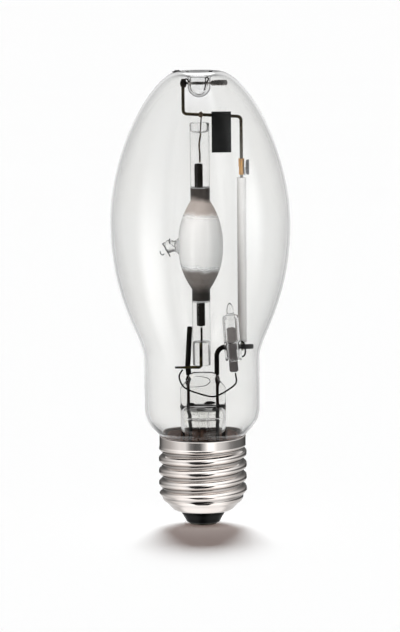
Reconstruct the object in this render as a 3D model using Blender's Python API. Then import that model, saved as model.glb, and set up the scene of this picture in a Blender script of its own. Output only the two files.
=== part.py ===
"""Metal halide lamp: an elliptical glass bulb on an Edison screw cap, with its arc tube inside.

The lamp stands on its centre contact. The origin is the middle of the contact's lower face,
+Z runs up the lamp's axis, and the row of parts inside is seen best along +Y.
Lengths are in metres.
"""
import math

import bmesh
import bpy
from mathutils import Vector

# Clearance between two pieces that touch, are soldered or are sealed together
seat_gap = 0.00012

# Outer bulb
bulb_widest_height = 0.0910
bulb_radius = 0.0270
bulb_wall = 0.0009
waist_height = 0.0505
waist_radius = 0.0174
shoulder_height = 0.0360
shoulder_radius = 0.01725
foot_height = 0.0220
foot_radius = 0.0110
bulb_end_height = 0.0123
dimple_rim_radius = 0.0058
dimple_radius = 0.0025
dimple_depth = 0.0086
dimple_gap = 0.0060
dimple_lip_height = 0.0036

# Screw shell, rolled from sheet
shell_top = 0.0266
shell_sheet = 0.0003
shell_rim_radius = 0.01295
thread_crest_radius = 0.0132
thread_depth = 0.0011
thread_pitch = 0.00363
thread_crest_height = 0.01807
thread_start_height = 0.0243
thread_foot_height = 0.0080
shell_lip_radius = 0.0069
shell_lip_height = 0.0040

# Insulator, centre contact and cement
insulator_tip_radius = 0.0050
insulator_bottom = 0.0006
insulator_flange_radius = 0.0092
insulator_top = 0.0072
contact_radius = 0.0042
contact_thickness = 0.0008
eyelet_radius = 0.0010
cement_height = 0.0019

# Glass stem with its flattened press
stem_x = 0.0003
stem_radius = 0.0068
stem_wall = 0.0010
stem_flare_radius = 0.0109
flare_lip = 0.0011
flare_height = 0.0075
press_top = 0.0456
press_length = 0.0111
press_half_thickness = 0.0024
exhaust_radius = 0.0018
exhaust_wall = 0.0006
exhaust_tip_height = 0.0135
blow_hole_radius = 0.0009
blow_hole_depth = 0.0036

# Wires sealed in the press
left_wire_x = -0.0040
right_wire_x = 0.0045
seal_wire_radius = 0.00043
weld_bead_radius = 0.0009
weld_bead_depth = 0.0024
outer_lead_radius = 0.00037

# Support rods
support_rod_radius = 0.00064
left_rod_length = 0.0140
left_rod_lean = 0.0005
right_rod_rise = 0.0077
right_rod_reach = 0.0156
right_rod_bend = 0.0027

# Arc tube
arc_radius = 0.0067
arc_wall = 0.0011
arc_upper_half = 0.0130
arc_lower_half = 0.0129
upper_leg_radius = 0.0029
lower_leg_radius = 0.0027
upper_leg_length = 0.0238
lower_leg_length = 0.0235
lower_leg_clearance = 0.0022
leg_wall = 0.00065
upper_seal_length = 0.0140
lower_seal_length = 0.0157
nib_drop = 0.0003
nib_reach = 0.0108
nib_radius = 0.0010

# Foils, electrodes and their leads
foil_width = 0.0021
foil_thickness = 0.00012
upper_foil_shift = -0.00030
lower_foil_shift = -0.00010
upper_foil_gap = 0.0040
upper_foil_length = 0.0078
lower_foil_gap = 0.0025
lower_foil_length = 0.0091
electrode_radius = 0.00025
electrode_coil_radius = 0.0006
electrode_coil_turns = 4
electrode_inset = 0.0060
arc_lead_radius = 0.0002

# Lower cross rod, which feeds the arc tube
cross_rod_radius = 0.00033
cross_rod_drop = 0.0006
cross_rod_x = -0.0002
cross_rod_reach = -0.00805
cross_rod_bend = 0.0009

# Frame wire above the arc tube
frame_wire_radius = 0.00048
frame_left_x = -0.0048
frame_right_x = 0.0124
frame_cross_rise = 0.0024
frame_cross_fall = 0.0010
frame_bend = 0.0012
frame_wire_stub = 0.0009
frame_wire_drop = 0.0156

# Clip on the dimple
clip_rise = 0.0035
clip_width = 0.0020
clip_thickness = 0.00025
clip_tail_reach = 0.0084
clip_tail_spread = 0.0003
staple_radius = 0.00025
staple_x = 0.0047
staple_height = 0.0040

# Getters
getter_strip_x = 0.0065
getter_strip_width = 0.0058
getter_strip_length = 0.0120
getter_strip_back = 0.0045
getter_strip_thickness = 0.00025
getter_disc_radius = 0.00225
getter_disc_thickness = 0.0010
getter_disc_rim = 0.0004
getter_disc_drop = 0.0002
getter_strap_thickness = 0.0002
getter_strap_width = 0.0012
getter_strap_length = 0.0024

# Return wire with its ceramic sleeve, and the collar that joins it to the frame wire
return_wire_radius = 0.00045
return_wire_x = 0.01225
return_wire_drop = 0.0008
sleeve_radius = 0.00125
sleeve_bore = 0.00065
sleeve_top_gap = 0.0009
sleeve_bottom_gap = 0.0017
collar_wall = 0.0002
collar_half_length = 0.0024

# Starter capsule beside the arc tube
capsule_radius = 0.0023
capsule_wall = 0.0007
capsule_x = 0.00975
capsule_drop = 0.0036
capsule_length = 0.0140
capsule_tip_length = 0.0032
capsule_tip_radius = 0.0011
capsule_seal_length = 0.0053
capsule_tilt = math.radians(-3.6)
capsule_foil_width = 0.0022
capsule_foil_drop = 0.0038
capsule_foil_length = 0.0137
starter_wire_radius = 0.00021
holding_wire_radius = 0.00025
swing_left = -0.0068
swing_right = 0.0101
swing_drop = 0.0086
swing_gap = 0.0007

# Faces round each turned piece
bulb_sides = 28
shell_sides = 24
tube_sides = 16
small_sides = 10
rows_per_pitch = 7


# Places worked out from the sizes above
stem_foot = bulb_end_height - flare_lip - 7 * seat_gap
press_bottom = press_top - press_length
blow_hole_height = press_top - blow_hole_depth
weld_bead_height = press_top - weld_bead_depth
left_rod_top = press_top + left_rod_length
right_rod_height = press_top + right_rod_rise
lower_leg_bottom = press_top + lower_leg_clearance
arc_lower_join = lower_leg_bottom + lower_leg_length
arc_centre_height = arc_lower_join + arc_lower_half
arc_upper_join = arc_centre_height + arc_upper_half
upper_leg_top = arc_upper_join + upper_leg_length
upper_seal_end = arc_upper_join + upper_seal_length
lower_seal_end = arc_lower_join - lower_seal_length
nib_height = arc_centre_height - nib_drop
upper_foil_top = arc_upper_join + upper_foil_gap + upper_foil_length
lower_foil_bottom = arc_lower_join - lower_foil_gap - lower_foil_length
cross_rod_height = lower_leg_bottom - cross_rod_drop
lamp_axis_gap = support_rod_radius + cross_rod_radius + seat_gap
arc_y = -lamp_axis_gap
frame_cross_height = upper_leg_top + frame_cross_rise
dimple_bottom = frame_cross_height + dimple_gap
bulb_top = dimple_bottom + dimple_depth
clip_height = dimple_bottom + clip_rise
frame_wire_top = clip_height + frame_wire_stub
frame_wire_end = frame_cross_height - frame_wire_drop
collar_top = frame_wire_end + collar_half_length
collar_bottom = frame_wire_end - collar_half_length
sleeve_top = collar_bottom - sleeve_top_gap
sleeve_bottom = right_rod_height + sleeve_bottom_gap
return_wire_bottom = right_rod_height - return_wire_drop
getter_disc_height = frame_wire_end - getter_disc_drop
capsule_bottom = right_rod_height - capsule_drop
clip_ring_radius = dimple_radius + bulb_wall + seat_gap + clip_thickness / 2
capsule_y = -(support_rod_radius + capsule_radius + seat_gap)
sleeve_y = support_rod_radius + return_wire_radius + seat_gap
wire_bore_radius = seal_wire_radius + seat_gap
thread_root_radius = thread_crest_radius - thread_depth
collar_bore = max(return_wire_radius, frame_wire_radius) + seat_gap
collar_radius = collar_bore + collar_wall


def clear_scene():
    """Remove the objects that a new file starts with."""
    for thing in list(bpy.data.objects):
        bpy.data.objects.remove(thing, do_unlink=True)


def make_finish(name, colour, roughness, metallic, transmission=0.0):
    """A plain material with the piece's colour and gloss."""
    material = bpy.data.materials.new(name)
    material.use_nodes = True
    shader = material.node_tree.nodes["Principled BSDF"]
    shader.inputs["Base Color"].default_value = (*colour, 1.0)
    shader.inputs["Roughness"].default_value = roughness
    shader.inputs["Metallic"].default_value = metallic
    shader.inputs["Transmission Weight"].default_value = transmission
    material.diffuse_color = (*colour, 1.0)
    return material


def add_object(name, data, finish):
    """Link one named object with its own material."""
    piece = bpy.data.objects.new(name, data)
    bpy.context.scene.collection.objects.link(piece)
    if finish is not None:
        data.materials.append(finish)
    return piece


def add_mesh(name, shape, finish, smooth_angle=math.radians(40)):
    """Turn a finished bmesh into an object with faces outward and round faces smooth."""
    bmesh.ops.recalc_face_normals(shape, faces=shape.faces)
    mesh = bpy.data.meshes.new(name)
    shape.to_mesh(mesh)
    shape.free()
    mesh.shade_smooth()
    mesh.set_sharp_from_angle(angle=smooth_angle)
    return add_object(name, mesh, finish)


def add_cutter(name, shape):
    """A closed shape that only cuts its neighbour."""
    cutter = add_mesh(name, shape, None)
    cutter.hide_render = True
    cutter.display_type = "WIRE"
    return cutter


def combine(target, tool, operation):
    """Cut one shape from another, or join it on, with a Boolean modifier."""
    tool.hide_render = True
    tool.display_type = "WIRE"
    modifier = target.modifiers.new(operation.lower(), "BOOLEAN")
    modifier.operation = operation
    modifier.solver = "EXACT"
    modifier.object = tool


def bezier(start, start_handle, end_handle, end, steps):
    """Points of a cubic curve after its start, in two or three dimensions."""
    points = []
    for step in range(1, steps + 1):
        t = step / steps
        s = 1.0 - t
        weights = (s ** 3, 3 * s * s * t, 3 * s * t * t, t ** 3)
        corners = (start, start_handle, end_handle, end)
        points.append(tuple(
            sum(weight * corner[axis] for weight, corner in zip(weights, corners))
            for axis in range(len(start))))
    return points


def arc(centre, radius, start_angle, end_angle, steps):
    """Points on a circle in a plane, from one angle to another in radians."""
    points = []
    for step in range(steps + 1):
        angle = start_angle + (end_angle - start_angle) * step / steps
        points.append((centre[0] + radius * math.cos(angle), centre[1] + radius * math.sin(angle)))
    return points


def offset_line(line, distance):
    """A plane line moved sideways, to its right for a positive distance, with mitred corners."""
    moved = []
    for index, point in enumerate(line):
        sides = []
        if index > 0:
            sides.append((line[index - 1], point))
        if index < len(line) - 1:
            sides.append((point, line[index + 1]))
        normals = []
        for first, second in sides:
            run = Vector(second) - Vector(first)
            normals.append(Vector((run.y, -run.x)).normalized())
        normal = sum(normals, Vector((0.0, 0.0))).normalized()
        mitre = max(normal.dot(normals[0]), 0.3)
        moved.append(tuple(Vector(point) + normal * (distance / mitre)))
    return moved


def smooth_step(low, high, value):
    """0 below low, 1 above high, and a smooth rise between."""
    share = min(max((value - low) / (high - low), 0.0), 1.0)
    return share * share * (3.0 - 2.0 * share)


def join_rings(shape, lower, upper):
    """Faces between two rings of points, where a ring of one point is a pole."""
    count = max(len(lower), len(upper))
    for index in range(count):
        after = (index + 1) % count
        if len(lower) == 1:
            shape.faces.new((lower[0], upper[index], upper[after]))
        elif len(upper) == 1:
            shape.faces.new((lower[index], lower[after], upper[0]))
        else:
            shape.faces.new((lower[index], lower[after], upper[after], upper[index]))


def turned_shape(outline, sides):
    """A solid of revolution about Z, from an outline of (radius, height) points.

    The outline starts and ends on the axis, or else it closes on itself.
    """
    shape = bmesh.new()
    rings = []
    for radius, height in outline:
        if radius < 1e-7:
            rings.append([shape.verts.new((0.0, 0.0, height))])
            continue
        ring = []
        for side in range(sides):
            angle = 2 * math.pi * side / sides
            ring.append(shape.verts.new((radius * math.cos(angle), radius * math.sin(angle), height)))
        rings.append(ring)
    for lower, upper in zip(rings, rings[1:]):
        join_rings(shape, lower, upper)
    if len(rings[0]) > 1:
        join_rings(shape, rings[-1], rings[0])
    return shape


def turned(name, outline, sides, finish):
    """A turned piece as an object."""
    return add_mesh(name, turned_shape(outline, sides), finish)


def rod_cutter(name, radius, low, high, sides=tube_sides):
    """A plain round cutter along Z between two heights."""
    return add_cutter(name, turned_shape([(0.0, low), (radius, low), (radius, high), (0.0, high)], sides))


def box_shape(width, depth, low, high):
    """A block centred on Z between two heights."""
    shape = bmesh.new()
    bmesh.ops.create_cube(shape, size=1.0)
    for point in shape.verts:
        point.co.x *= width
        point.co.y *= depth
        point.co.z = low if point.co.z < 0 else high
    return shape


def foil(name, width, thickness, low, high, finish):
    """A metal foil with edges that are feathered to a point, as foil for a glass seal is."""
    shape = bmesh.new()
    shoulder = width / 2 - 2 * thickness
    section = [(-width / 2, 0.0), (-shoulder, -thickness / 2), (shoulder, -thickness / 2),
               (width / 2, 0.0), (shoulder, thickness / 2), (-shoulder, thickness / 2)]
    lower = [shape.verts.new((x, y, low)) for x, y in section]
    upper = [shape.verts.new((x, y, high)) for x, y in section]
    join_rings(shape, lower, upper)
    shape.faces.new(lower)
    shape.faces.new(upper)
    return add_mesh(name, shape, finish, math.radians(5))


def bent_strip(name, route, thickness, half_widths, finish):
    """Strip metal bent along a route in the XY plane, with its width along Z."""
    shape = bmesh.new()
    sides = [offset_line(route, -thickness / 2), offset_line(route, thickness / 2)]
    stations = []
    for left, right, half in zip(sides[0], sides[1], half_widths):
        stations.append([
            shape.verts.new((*left, -half)), shape.verts.new((*right, -half)),
            shape.verts.new((*right, half)), shape.verts.new((*left, half))])
    for lower, upper in zip(stations, stations[1:]):
        join_rings(shape, lower, upper)
    shape.faces.new(stations[0])
    shape.faces.new(stations[-1])
    return add_mesh(name, shape, finish)


def rounded_route(corners, bend_radius, steps=5):
    """A route of straight runs with a round bend at each corner between them."""
    route = [Vector(corners[0])]
    for before, corner, after in zip(corners, corners[1:], corners[2:]):
        corner = Vector(corner)
        back = (Vector(before) - corner).normalized()
        ahead = (Vector(after) - corner).normalized()
        half_angle = back.angle(ahead) / 2
        reach = bend_radius / math.tan(half_angle)
        centre = corner + (back + ahead).normalized() * (bend_radius / math.sin(half_angle))
        first = (corner + back * reach - centre).normalized()
        last = (corner + ahead * reach - centre).normalized()
        for step in range(steps + 1):
            route.append(centre + first.slerp(last, step / steps) * bend_radius)
    route.append(Vector(corners[-1]))
    return route


def smooth_route(points, steps):
    """A smooth curve through all the points."""
    points = [Vector(point) for point in points]
    ends = [2 * points[0] - points[1]] + points + [2 * points[-1] - points[-2]]
    route = [points[0]]
    for before, start, end, after in zip(ends, ends[1:], ends[2:], ends[3:]):
        route += [Vector(point) for point in bezier(
            start, start + (end - before) / 6, end - (after - start) / 6, end, steps)]
    return route


def wire(name, route, radius, finish, fineness=2):
    """A round wire along a route of points, with closed ends."""
    curve = bpy.data.curves.new(name, "CURVE")
    curve.dimensions = "3D"
    curve.bevel_depth = radius
    curve.bevel_resolution = fineness
    curve.use_fill_caps = True
    spline = curve.splines.new("POLY")
    spline.points.add(len(route) - 1)
    for spline_point, point in zip(spline.points, route):
        spline_point.co = (*point, 1.0)
    return add_object(name, curve, finish)


def bulb_outline():
    """Outer side of the blown bulb, from the dimple's bottom over the dome and down the neck."""
    pocket_start = dimple_bottom + dimple_radius
    pocket_end = bulb_top - dimple_lip_height
    line = [(radius, height) for radius, height in arc(
        (0.0, pocket_start), dimple_radius, -math.pi / 2, 0.0, 3)]
    line[0] = (0.0, dimple_bottom)
    line += bezier((dimple_radius, pocket_end), (dimple_radius, bulb_top - 0.3 * dimple_lip_height),
                   (0.6 * dimple_rim_radius, bulb_top), (dimple_rim_radius, bulb_top), 4)
    dome_width = bulb_radius - dimple_rim_radius
    dome_height = bulb_top - bulb_widest_height
    line += bezier(line[-1], (dimple_rim_radius + 0.363 * dome_width, bulb_top),
                   (bulb_radius, bulb_widest_height + 0.468 * dome_height),
                   (bulb_radius, bulb_widest_height), 9)
    fall = bulb_widest_height - waist_height
    line += bezier(line[-1], (bulb_radius, bulb_widest_height - 0.58 * fall),
                   (waist_radius, waist_height + 0.16 * fall), (waist_radius, waist_height), 7)
    line += [(shoulder_radius, shoulder_height)]
    drop = shoulder_height - foot_height
    line += bezier(line[-1], (shoulder_radius, shoulder_height - 0.586 * drop),
                   (foot_radius, foot_height + 0.503 * drop), (foot_radius, foot_height), 6)
    line += [(foot_radius, bulb_end_height)]
    return line


def radius_at(line, height):
    """Radius of a falling outline at a height, on its outer stretch."""
    best = None
    for upper, lower in zip(line, line[1:]):
        if lower[1] <= height <= upper[1] and upper[1] > lower[1]:
            share = (height - lower[1]) / (upper[1] - lower[1])
            best = lower[0] + share * (upper[0] - lower[0])
    return best


def make_outer_bulb(glass):
    """The blown bulb with the dimple in its crown, open at the neck where the stem closes it."""
    outer = bulb_outline()
    inner = offset_line(outer, bulb_wall)
    inner[0] = (0.0, outer[0][1] - bulb_wall)
    return turned("outer_bulb", outer + inner[::-1], bulb_sides, glass)


def shell_column(angle):
    """Outer side of the screw shell at one angle, from its rim down to the lip at its bottom."""
    heights = [shell_top, shell_top - 0.0006, (shell_top + thread_start_height) / 2]
    turns = (thread_start_height - thread_foot_height) / thread_pitch
    rows = math.ceil(turns * rows_per_pitch)
    heights += [thread_start_height - (thread_start_height - thread_foot_height) * row / rows
                for row in range(rows + 1)]
    column = []
    for height in heights:
        phase = (height - thread_crest_height) / thread_pitch - angle / (2 * math.pi)
        groove = (1.0 - math.cos(2 * math.pi * phase)) / 2
        started = smooth_step(0.0, 0.5 * thread_pitch, thread_start_height - height)
        radius = thread_crest_radius - thread_depth * groove
        radius = shell_rim_radius + (radius - shell_rim_radius) * started
        ended = smooth_step(0.5 * thread_pitch, 0.0, height - thread_foot_height)
        column.append((radius + (thread_root_radius - radius) * ended, height))
    drop = thread_foot_height - shell_lip_height
    column += bezier(column[-1], (thread_root_radius, thread_foot_height - 0.7 * drop),
                     (thread_root_radius - 0.3 * drop, shell_lip_height + 0.25 * drop),
                     (shell_lip_radius, shell_lip_height), 5)
    return column


def make_screw_shell(nickel):
    """The shell with its rolled thread: the sheet follows the thread inside as it does outside."""
    shape = bmesh.new()
    columns = []
    for side in range(shell_sides):
        angle = 2 * math.pi * side / shell_sides
        outer = shell_column(angle)
        line = outer + offset_line(outer, shell_sheet)[::-1]
        columns.append([
            shape.verts.new((radius * math.cos(angle), radius * math.sin(angle), height))
            for radius, height in line])
    for side in range(shell_sides):
        join_rings(shape, columns[side], columns[(side + 1) % shell_sides])
    return add_mesh("screw_shell", shape, nickel)


def make_cap_insulator(black_glass):
    """The black glass button that closes the shell and carries the centre contact."""
    lip = shell_lip_height
    sheet = shell_sheet + seat_gap
    hole = eyelet_radius + seat_gap
    seat = contact_thickness + seat_gap
    recess = contact_radius + seat_gap
    outline = [
        (hole, seat), (recess, seat), (recess, insulator_bottom),
        (insulator_tip_radius - 0.0003, insulator_bottom), (insulator_tip_radius, insulator_bottom + 0.0004),
        (shell_lip_radius - 3 * seat_gap, lip - 0.0003), (shell_lip_radius - 2 * seat_gap, lip + sheet),
        (insulator_flange_radius, lip + sheet + 0.0007), (insulator_flange_radius, insulator_top - 0.0008),
        (insulator_flange_radius - 0.0012, insulator_top), (0.0030, insulator_top - 0.0010),
        (hole, insulator_top - 0.0016)]
    return turned("cap_insulator", outline, tube_sides, black_glass)


def make_centre_contact(brass):
    """The contact disc with the eyelet that the lead is soldered into."""
    bore = outer_lead_radius + seat_gap
    outline = [
        (bore, 0.0), (contact_radius - 0.0004, 0.0), (contact_radius, 0.0004),
        (contact_radius, contact_thickness), (eyelet_radius, contact_thickness),
        (eyelet_radius, insulator_top - 0.0012), (bore, insulator_top - 0.0012)]
    return turned("centre_contact", outline, tube_sides, brass)


def make_basing_cement(cement):
    """The ring of cement between the bulb's neck and the shell's collar."""
    outer = shell_rim_radius - shell_sheet - seat_gap
    low = thread_start_height - 0.0001
    high = low + cement_height
    line = bulb_outline()
    steps = 2
    inner = []
    for step in range(steps + 1):
        height = low + (high - low) * step / steps
        inner.append((radius_at(line, height) + 1.5 * seat_gap, height))
    outline = inner + [(outer, high), (outer, low)]
    return turned("basing_cement", outline, bulb_sides, cement)


def oval_ring(shape, half_width, half_depth, height, squareness):
    """A ring of points on an oval that turns into a rounded bar as squareness rises to 1."""
    ring = []
    power = 1.0 - 0.5 * squareness
    for side in range(tube_sides + 2):
        angle = 2 * math.pi * side / (tube_sides + 2)
        across = math.copysign(abs(math.cos(angle)) ** power, math.cos(angle))
        along = math.copysign(abs(math.sin(angle)) ** power, math.sin(angle))
        ring.append(shape.verts.new((half_width * across, half_depth * along, height)))
    return ring


def make_glass_stem(glass):
    """The stem: a flared tube whose top is pressed flat round the two lead wires."""
    shape = bmesh.new()
    press_shoulder = press_top - 0.0016
    press_foot = press_bottom + 0.0020
    tube_end = press_bottom - 0.0045
    flare_end = stem_foot + flare_height
    tube_bore = stem_radius - stem_wall
    flare_bore = stem_flare_radius - stem_wall
    outer = [
        (0.72 * stem_radius, 0.45 * press_half_thickness, press_top, 1.0),
        (0.93 * stem_radius, 0.85 * press_half_thickness, press_top - 0.0006, 1.0),
        (stem_radius, press_half_thickness, press_shoulder, 1.0),
        (stem_radius, press_half_thickness, press_foot, 1.0),
        (stem_radius, 0.6 * stem_radius, press_foot - 0.0025, 0.5),
        (stem_radius, stem_radius, tube_end, 0.0),
        (stem_radius, stem_radius, flare_end, 0.0),
        (stem_radius + 0.0006, stem_radius + 0.0006, flare_end - 0.0028, 0.0),
        (stem_radius + 0.0020, stem_radius + 0.0020, flare_end - 0.0052, 0.0),
        (stem_flare_radius, stem_flare_radius, stem_foot + flare_lip, 0.0),
        (stem_flare_radius, stem_flare_radius, stem_foot, 0.0)]
    inner = [
        (flare_bore, flare_bore, stem_foot, 0.0),
        (stem_radius + 0.0008, stem_radius + 0.0008, flare_end - 0.0056, 0.0),
        (tube_bore + 0.0006, tube_bore + 0.0006, flare_end - 0.0030, 0.0),
        (tube_bore, tube_bore, flare_end, 0.0),
        (tube_bore, tube_bore, tube_end, 0.0),
        (0.97 * tube_bore, 0.5 * tube_bore, press_bottom - 0.0018, 0.5),
        (0.92 * tube_bore, 0.16 * tube_bore, press_bottom, 1.0)]
    rings = [oval_ring(shape, *section[:3], section[3]) for section in outer + inner]
    for lower, upper in zip(rings, rings[1:]):
        join_rings(shape, lower, upper)
    shape.faces.new(rings[0])
    shape.faces.new(rings[-1])
    stem = add_mesh("glass_stem", shape, glass)
    stem.location.x = stem_x

    for side, wire_x in (("left", left_wire_x), ("right", right_wire_x)):
        hole = rod_cutter(side + "_wire_hole", wire_bore_radius, tube_end + 0.0005, press_top + 0.0005,
                          small_sides)
        hole.location.x = wire_x
        combine(stem, hole, "DIFFERENCE")
        socket = rod_cutter(side + "_rod_socket", max(weld_bead_radius, support_rod_radius) + 2 * seat_gap,
                            weld_bead_height - 0.0015, press_top + 0.0010, small_sides)
        socket.location.x = wire_x
        combine(stem, socket, "DIFFERENCE")
    bores = (("exhaust_bore", exhaust_radius - exhaust_wall, blow_hole_height + 1.3 * blow_hole_radius),
             ("exhaust_seat", exhaust_radius + seat_gap, press_bottom))
    for name, radius, top in bores:
        bore = rod_cutter(name, radius, tube_end + 0.0005, top, small_sides)
        bore.location.x = stem_x
        combine(stem, bore, "DIFFERENCE")
    blow_hole = rod_cutter("blow_hole", blow_hole_radius, 0.0002, stem_radius, small_sides)
    blow_hole.location = (stem_x, 0.0, blow_hole_height)
    blow_hole.rotation_euler.x = math.radians(90)
    combine(stem, blow_hole, "DIFFERENCE")
    return stem


def make_exhaust_tube(glass):
    """The tube that the bulb was pumped through, sealed off at its lower tip."""
    top = press_bottom - 2 * seat_gap
    bore = exhaust_radius - exhaust_wall
    tip = exhaust_tip_height
    outer = arc((0.0, tip + exhaust_radius), exhaust_radius, -math.pi / 2, 0.0, 3)
    inner = arc((0.0, tip + 2 * exhaust_wall + bore), bore, -math.pi / 2, 0.0, 3)
    outer[0] = (0.0, tip)
    inner[0] = (0.0, tip + 2 * exhaust_wall)
    outline = outer + [(exhaust_radius, top), (bore, top)] + inner[::-1]
    tube = turned("exhaust_tube", outline, small_sides, glass)
    tube.location.x = stem_x
    return tube


def make_seal_wire(name, wire_x, copper):
    """The wire sealed in the press, with the melted bead that welds it to its support rod."""
    bead = weld_bead_radius
    mid = weld_bead_height
    outline = [
        (0.0, press_bottom - 0.0002), (seal_wire_radius, press_bottom - 0.0002),
        (seal_wire_radius, mid - 1.3 * bead), (0.85 * bead, mid - 0.4 * bead), (bead, mid),
        (0.80 * bead, mid + 0.7 * bead), (0.45 * bead, mid + 1.2 * bead), (0.0, mid + 1.3 * bead)]
    piece = turned(name, outline, small_sides, copper)
    piece.location.x = wire_x
    return piece


def make_outer_leads(copper):
    """The leads below the press: one runs to the shell, the other to the centre contact."""
    start = press_bottom - 0.0002 - seat_gap
    left_end = thread_root_radius - shell_sheet - 3 * outer_lead_radius
    side_height = bulb_end_height - 0.0035
    left_route = [
        (left_wire_x, 0.0, start), (left_wire_x + 0.0004, 0.0, start - 0.0042),
        (left_wire_x + 0.0003, 0.0, start - 0.0090), (left_wire_x, 0.0, stem_foot + 0.0030),
        (left_wire_x - 0.0012, 0.0, side_height + 0.0003), (-left_end, 0.0, side_height)]
    right_route = [
        (right_wire_x, 0.0, start), (right_wire_x, 0.0, start - 0.0120),
        (right_wire_x - 0.0006, 0.0, stem_foot + 0.0030), (0.0010, 0.0, insulator_top + 0.0018),
        (0.0, 0.0, insulator_top - 0.0010), (0.0, 0.0, contact_thickness / 2)]
    wire("left_outer_lead", smooth_route(left_route, 3), outer_lead_radius, copper)
    wire("right_outer_lead", smooth_route(right_route, 3), outer_lead_radius, copper)


def make_support_rods(steel):
    """The two stiff rods on the press: a short straight one, and one bent out to the right."""
    foot = weld_bead_height + 1.3 * weld_bead_radius + seat_gap
    left_route = [
        (left_wire_x + 0.0001, 0.0, foot), (left_wire_x - 0.0002, 0.0, foot + 0.0030),
        (left_wire_x + left_rod_lean, 0.0, left_rod_top)]
    right_route = [
        (right_wire_x, 0.0, foot), (right_wire_x, 0.0, right_rod_height),
        (right_rod_reach, 0.0, right_rod_height)]
    wire("left_support_rod", [Vector(point) for point in left_route], support_rod_radius, steel, 4)
    wire("right_support_rod", rounded_route(right_route, right_rod_bend, 7), support_rod_radius, steel, 4)


def arc_tube_lines():
    """Outer side of the arc tube from top to bottom, and its inside from bottom to top."""
    upper_rise = arc_upper_join - arc_centre_height
    lower_fall = arc_centre_height - arc_lower_join
    upper_swell = arc_radius - upper_leg_radius
    lower_swell = arc_radius - lower_leg_radius
    outer = [(upper_leg_radius, upper_leg_top), (upper_leg_radius, arc_upper_join + 0.0006)]
    outer += bezier(outer[-1], (upper_leg_radius + 0.40 * upper_swell, arc_upper_join - 0.16 * upper_rise),
                    (arc_radius, arc_centre_height + 0.56 * upper_rise), (arc_radius, arc_centre_height), 6)
    outer += bezier(outer[-1], (arc_radius, arc_centre_height - 0.56 * lower_fall),
                    (lower_leg_radius + 0.40 * lower_swell, arc_lower_join + 0.16 * lower_fall),
                    (lower_leg_radius, arc_lower_join - 0.0006), 6)
    outer += [(lower_leg_radius, lower_leg_bottom)]

    shank_bore = electrode_radius + seat_gap
    lead_bore = arc_lead_radius + seat_gap
    cavity = arc_radius - arc_wall
    cavity_top = arc_upper_join - 1.6 * arc_wall
    cavity_bottom = arc_lower_join + 1.6 * arc_wall
    upper_open = upper_leg_radius - leg_wall
    lower_open = lower_leg_radius - leg_wall
    inner = [(lower_open, lower_leg_bottom), (lower_open, lower_seal_end - 0.0012),
             (0.6 * lower_open, lower_seal_end - 0.0002), (lead_bore, lower_seal_end),
             (lead_bore, lower_foil_bottom), (shank_bore, lower_foil_bottom + lower_foil_length),
             (shank_bore, cavity_bottom)]
    inner += bezier(inner[-1], (0.55 * cavity, cavity_bottom + 0.0004),
                    (cavity, arc_centre_height - 0.55 * lower_fall), (cavity, arc_centre_height), 5)
    inner += bezier(inner[-1], (cavity, arc_centre_height + 0.55 * upper_rise),
                    (0.55 * cavity, cavity_top - 0.0004), (shank_bore, cavity_top), 5)
    inner += [(shank_bore, upper_foil_top - upper_foil_length), (lead_bore, upper_foil_top),
              (lead_bore, upper_seal_end), (0.6 * upper_open, upper_seal_end + 0.0002),
              (upper_open, upper_seal_end + 0.0012), (upper_open, upper_leg_top)]
    return outer, inner


def make_arc_tube(quartz):
    """The quartz arc tube: a swollen body on two legs, with the nib left where it was filled."""
    outer, inner = arc_tube_lines()
    tube = turned("arc_tube", outer + inner, tube_sides, quartz)
    tube.location.y = arc_y

    root = arc_radius - 0.5 * arc_wall
    nib_outline = [(0.0, root), (1.9 * nib_radius, root), (1.5 * nib_radius, arc_radius + 0.6 * nib_radius)]
    nib_outline += bezier(nib_outline[-1], (1.0 * nib_radius, arc_radius + 1.1 * nib_radius),
                          (1.0 * nib_radius, arc_radius + 1.5 * nib_radius),
                          (nib_radius, nib_reach - nib_radius), 3)
    nib_outline += arc((0.0, nib_reach - nib_radius), nib_radius, 0.0, math.pi / 2, 3)[1:-1]
    nib_outline += [(0.0, nib_reach)]
    nib = add_cutter("arc_tube_nib", turned_shape(nib_outline, small_sides))
    nib.location = (0.0, arc_y, nib_height)
    nib.rotation_euler.y = math.radians(-90)
    combine(tube, nib, "UNION")

    slots = (("upper_slot", upper_foil_top - upper_foil_length, upper_foil_top, upper_foil_shift),
             ("lower_slot", lower_foil_bottom, lower_foil_bottom + lower_foil_length, lower_foil_shift))
    for name, low, high, shift in slots:
        slot = add_cutter(name, box_shape(foil_width + 2 * seat_gap, foil_thickness + 2 * seat_gap,
                                          low - seat_gap, high + seat_gap))
        slot.location = (shift, arc_y, 0.0)
        combine(tube, slot, "DIFFERENCE")
    return tube


def make_foils(molybdenum):
    """The two foils that carry the current through the sealed legs."""
    upper = foil("upper_foil", foil_width, foil_thickness,
                 upper_foil_top - upper_foil_length, upper_foil_top, molybdenum)
    upper.location = (upper_foil_shift, arc_y, 0.0)
    lower = foil("lower_foil", foil_width, foil_thickness,
                 lower_foil_bottom, lower_foil_bottom + lower_foil_length, molybdenum)
    lower.location = (lower_foil_shift, arc_y, 0.0)


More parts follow.
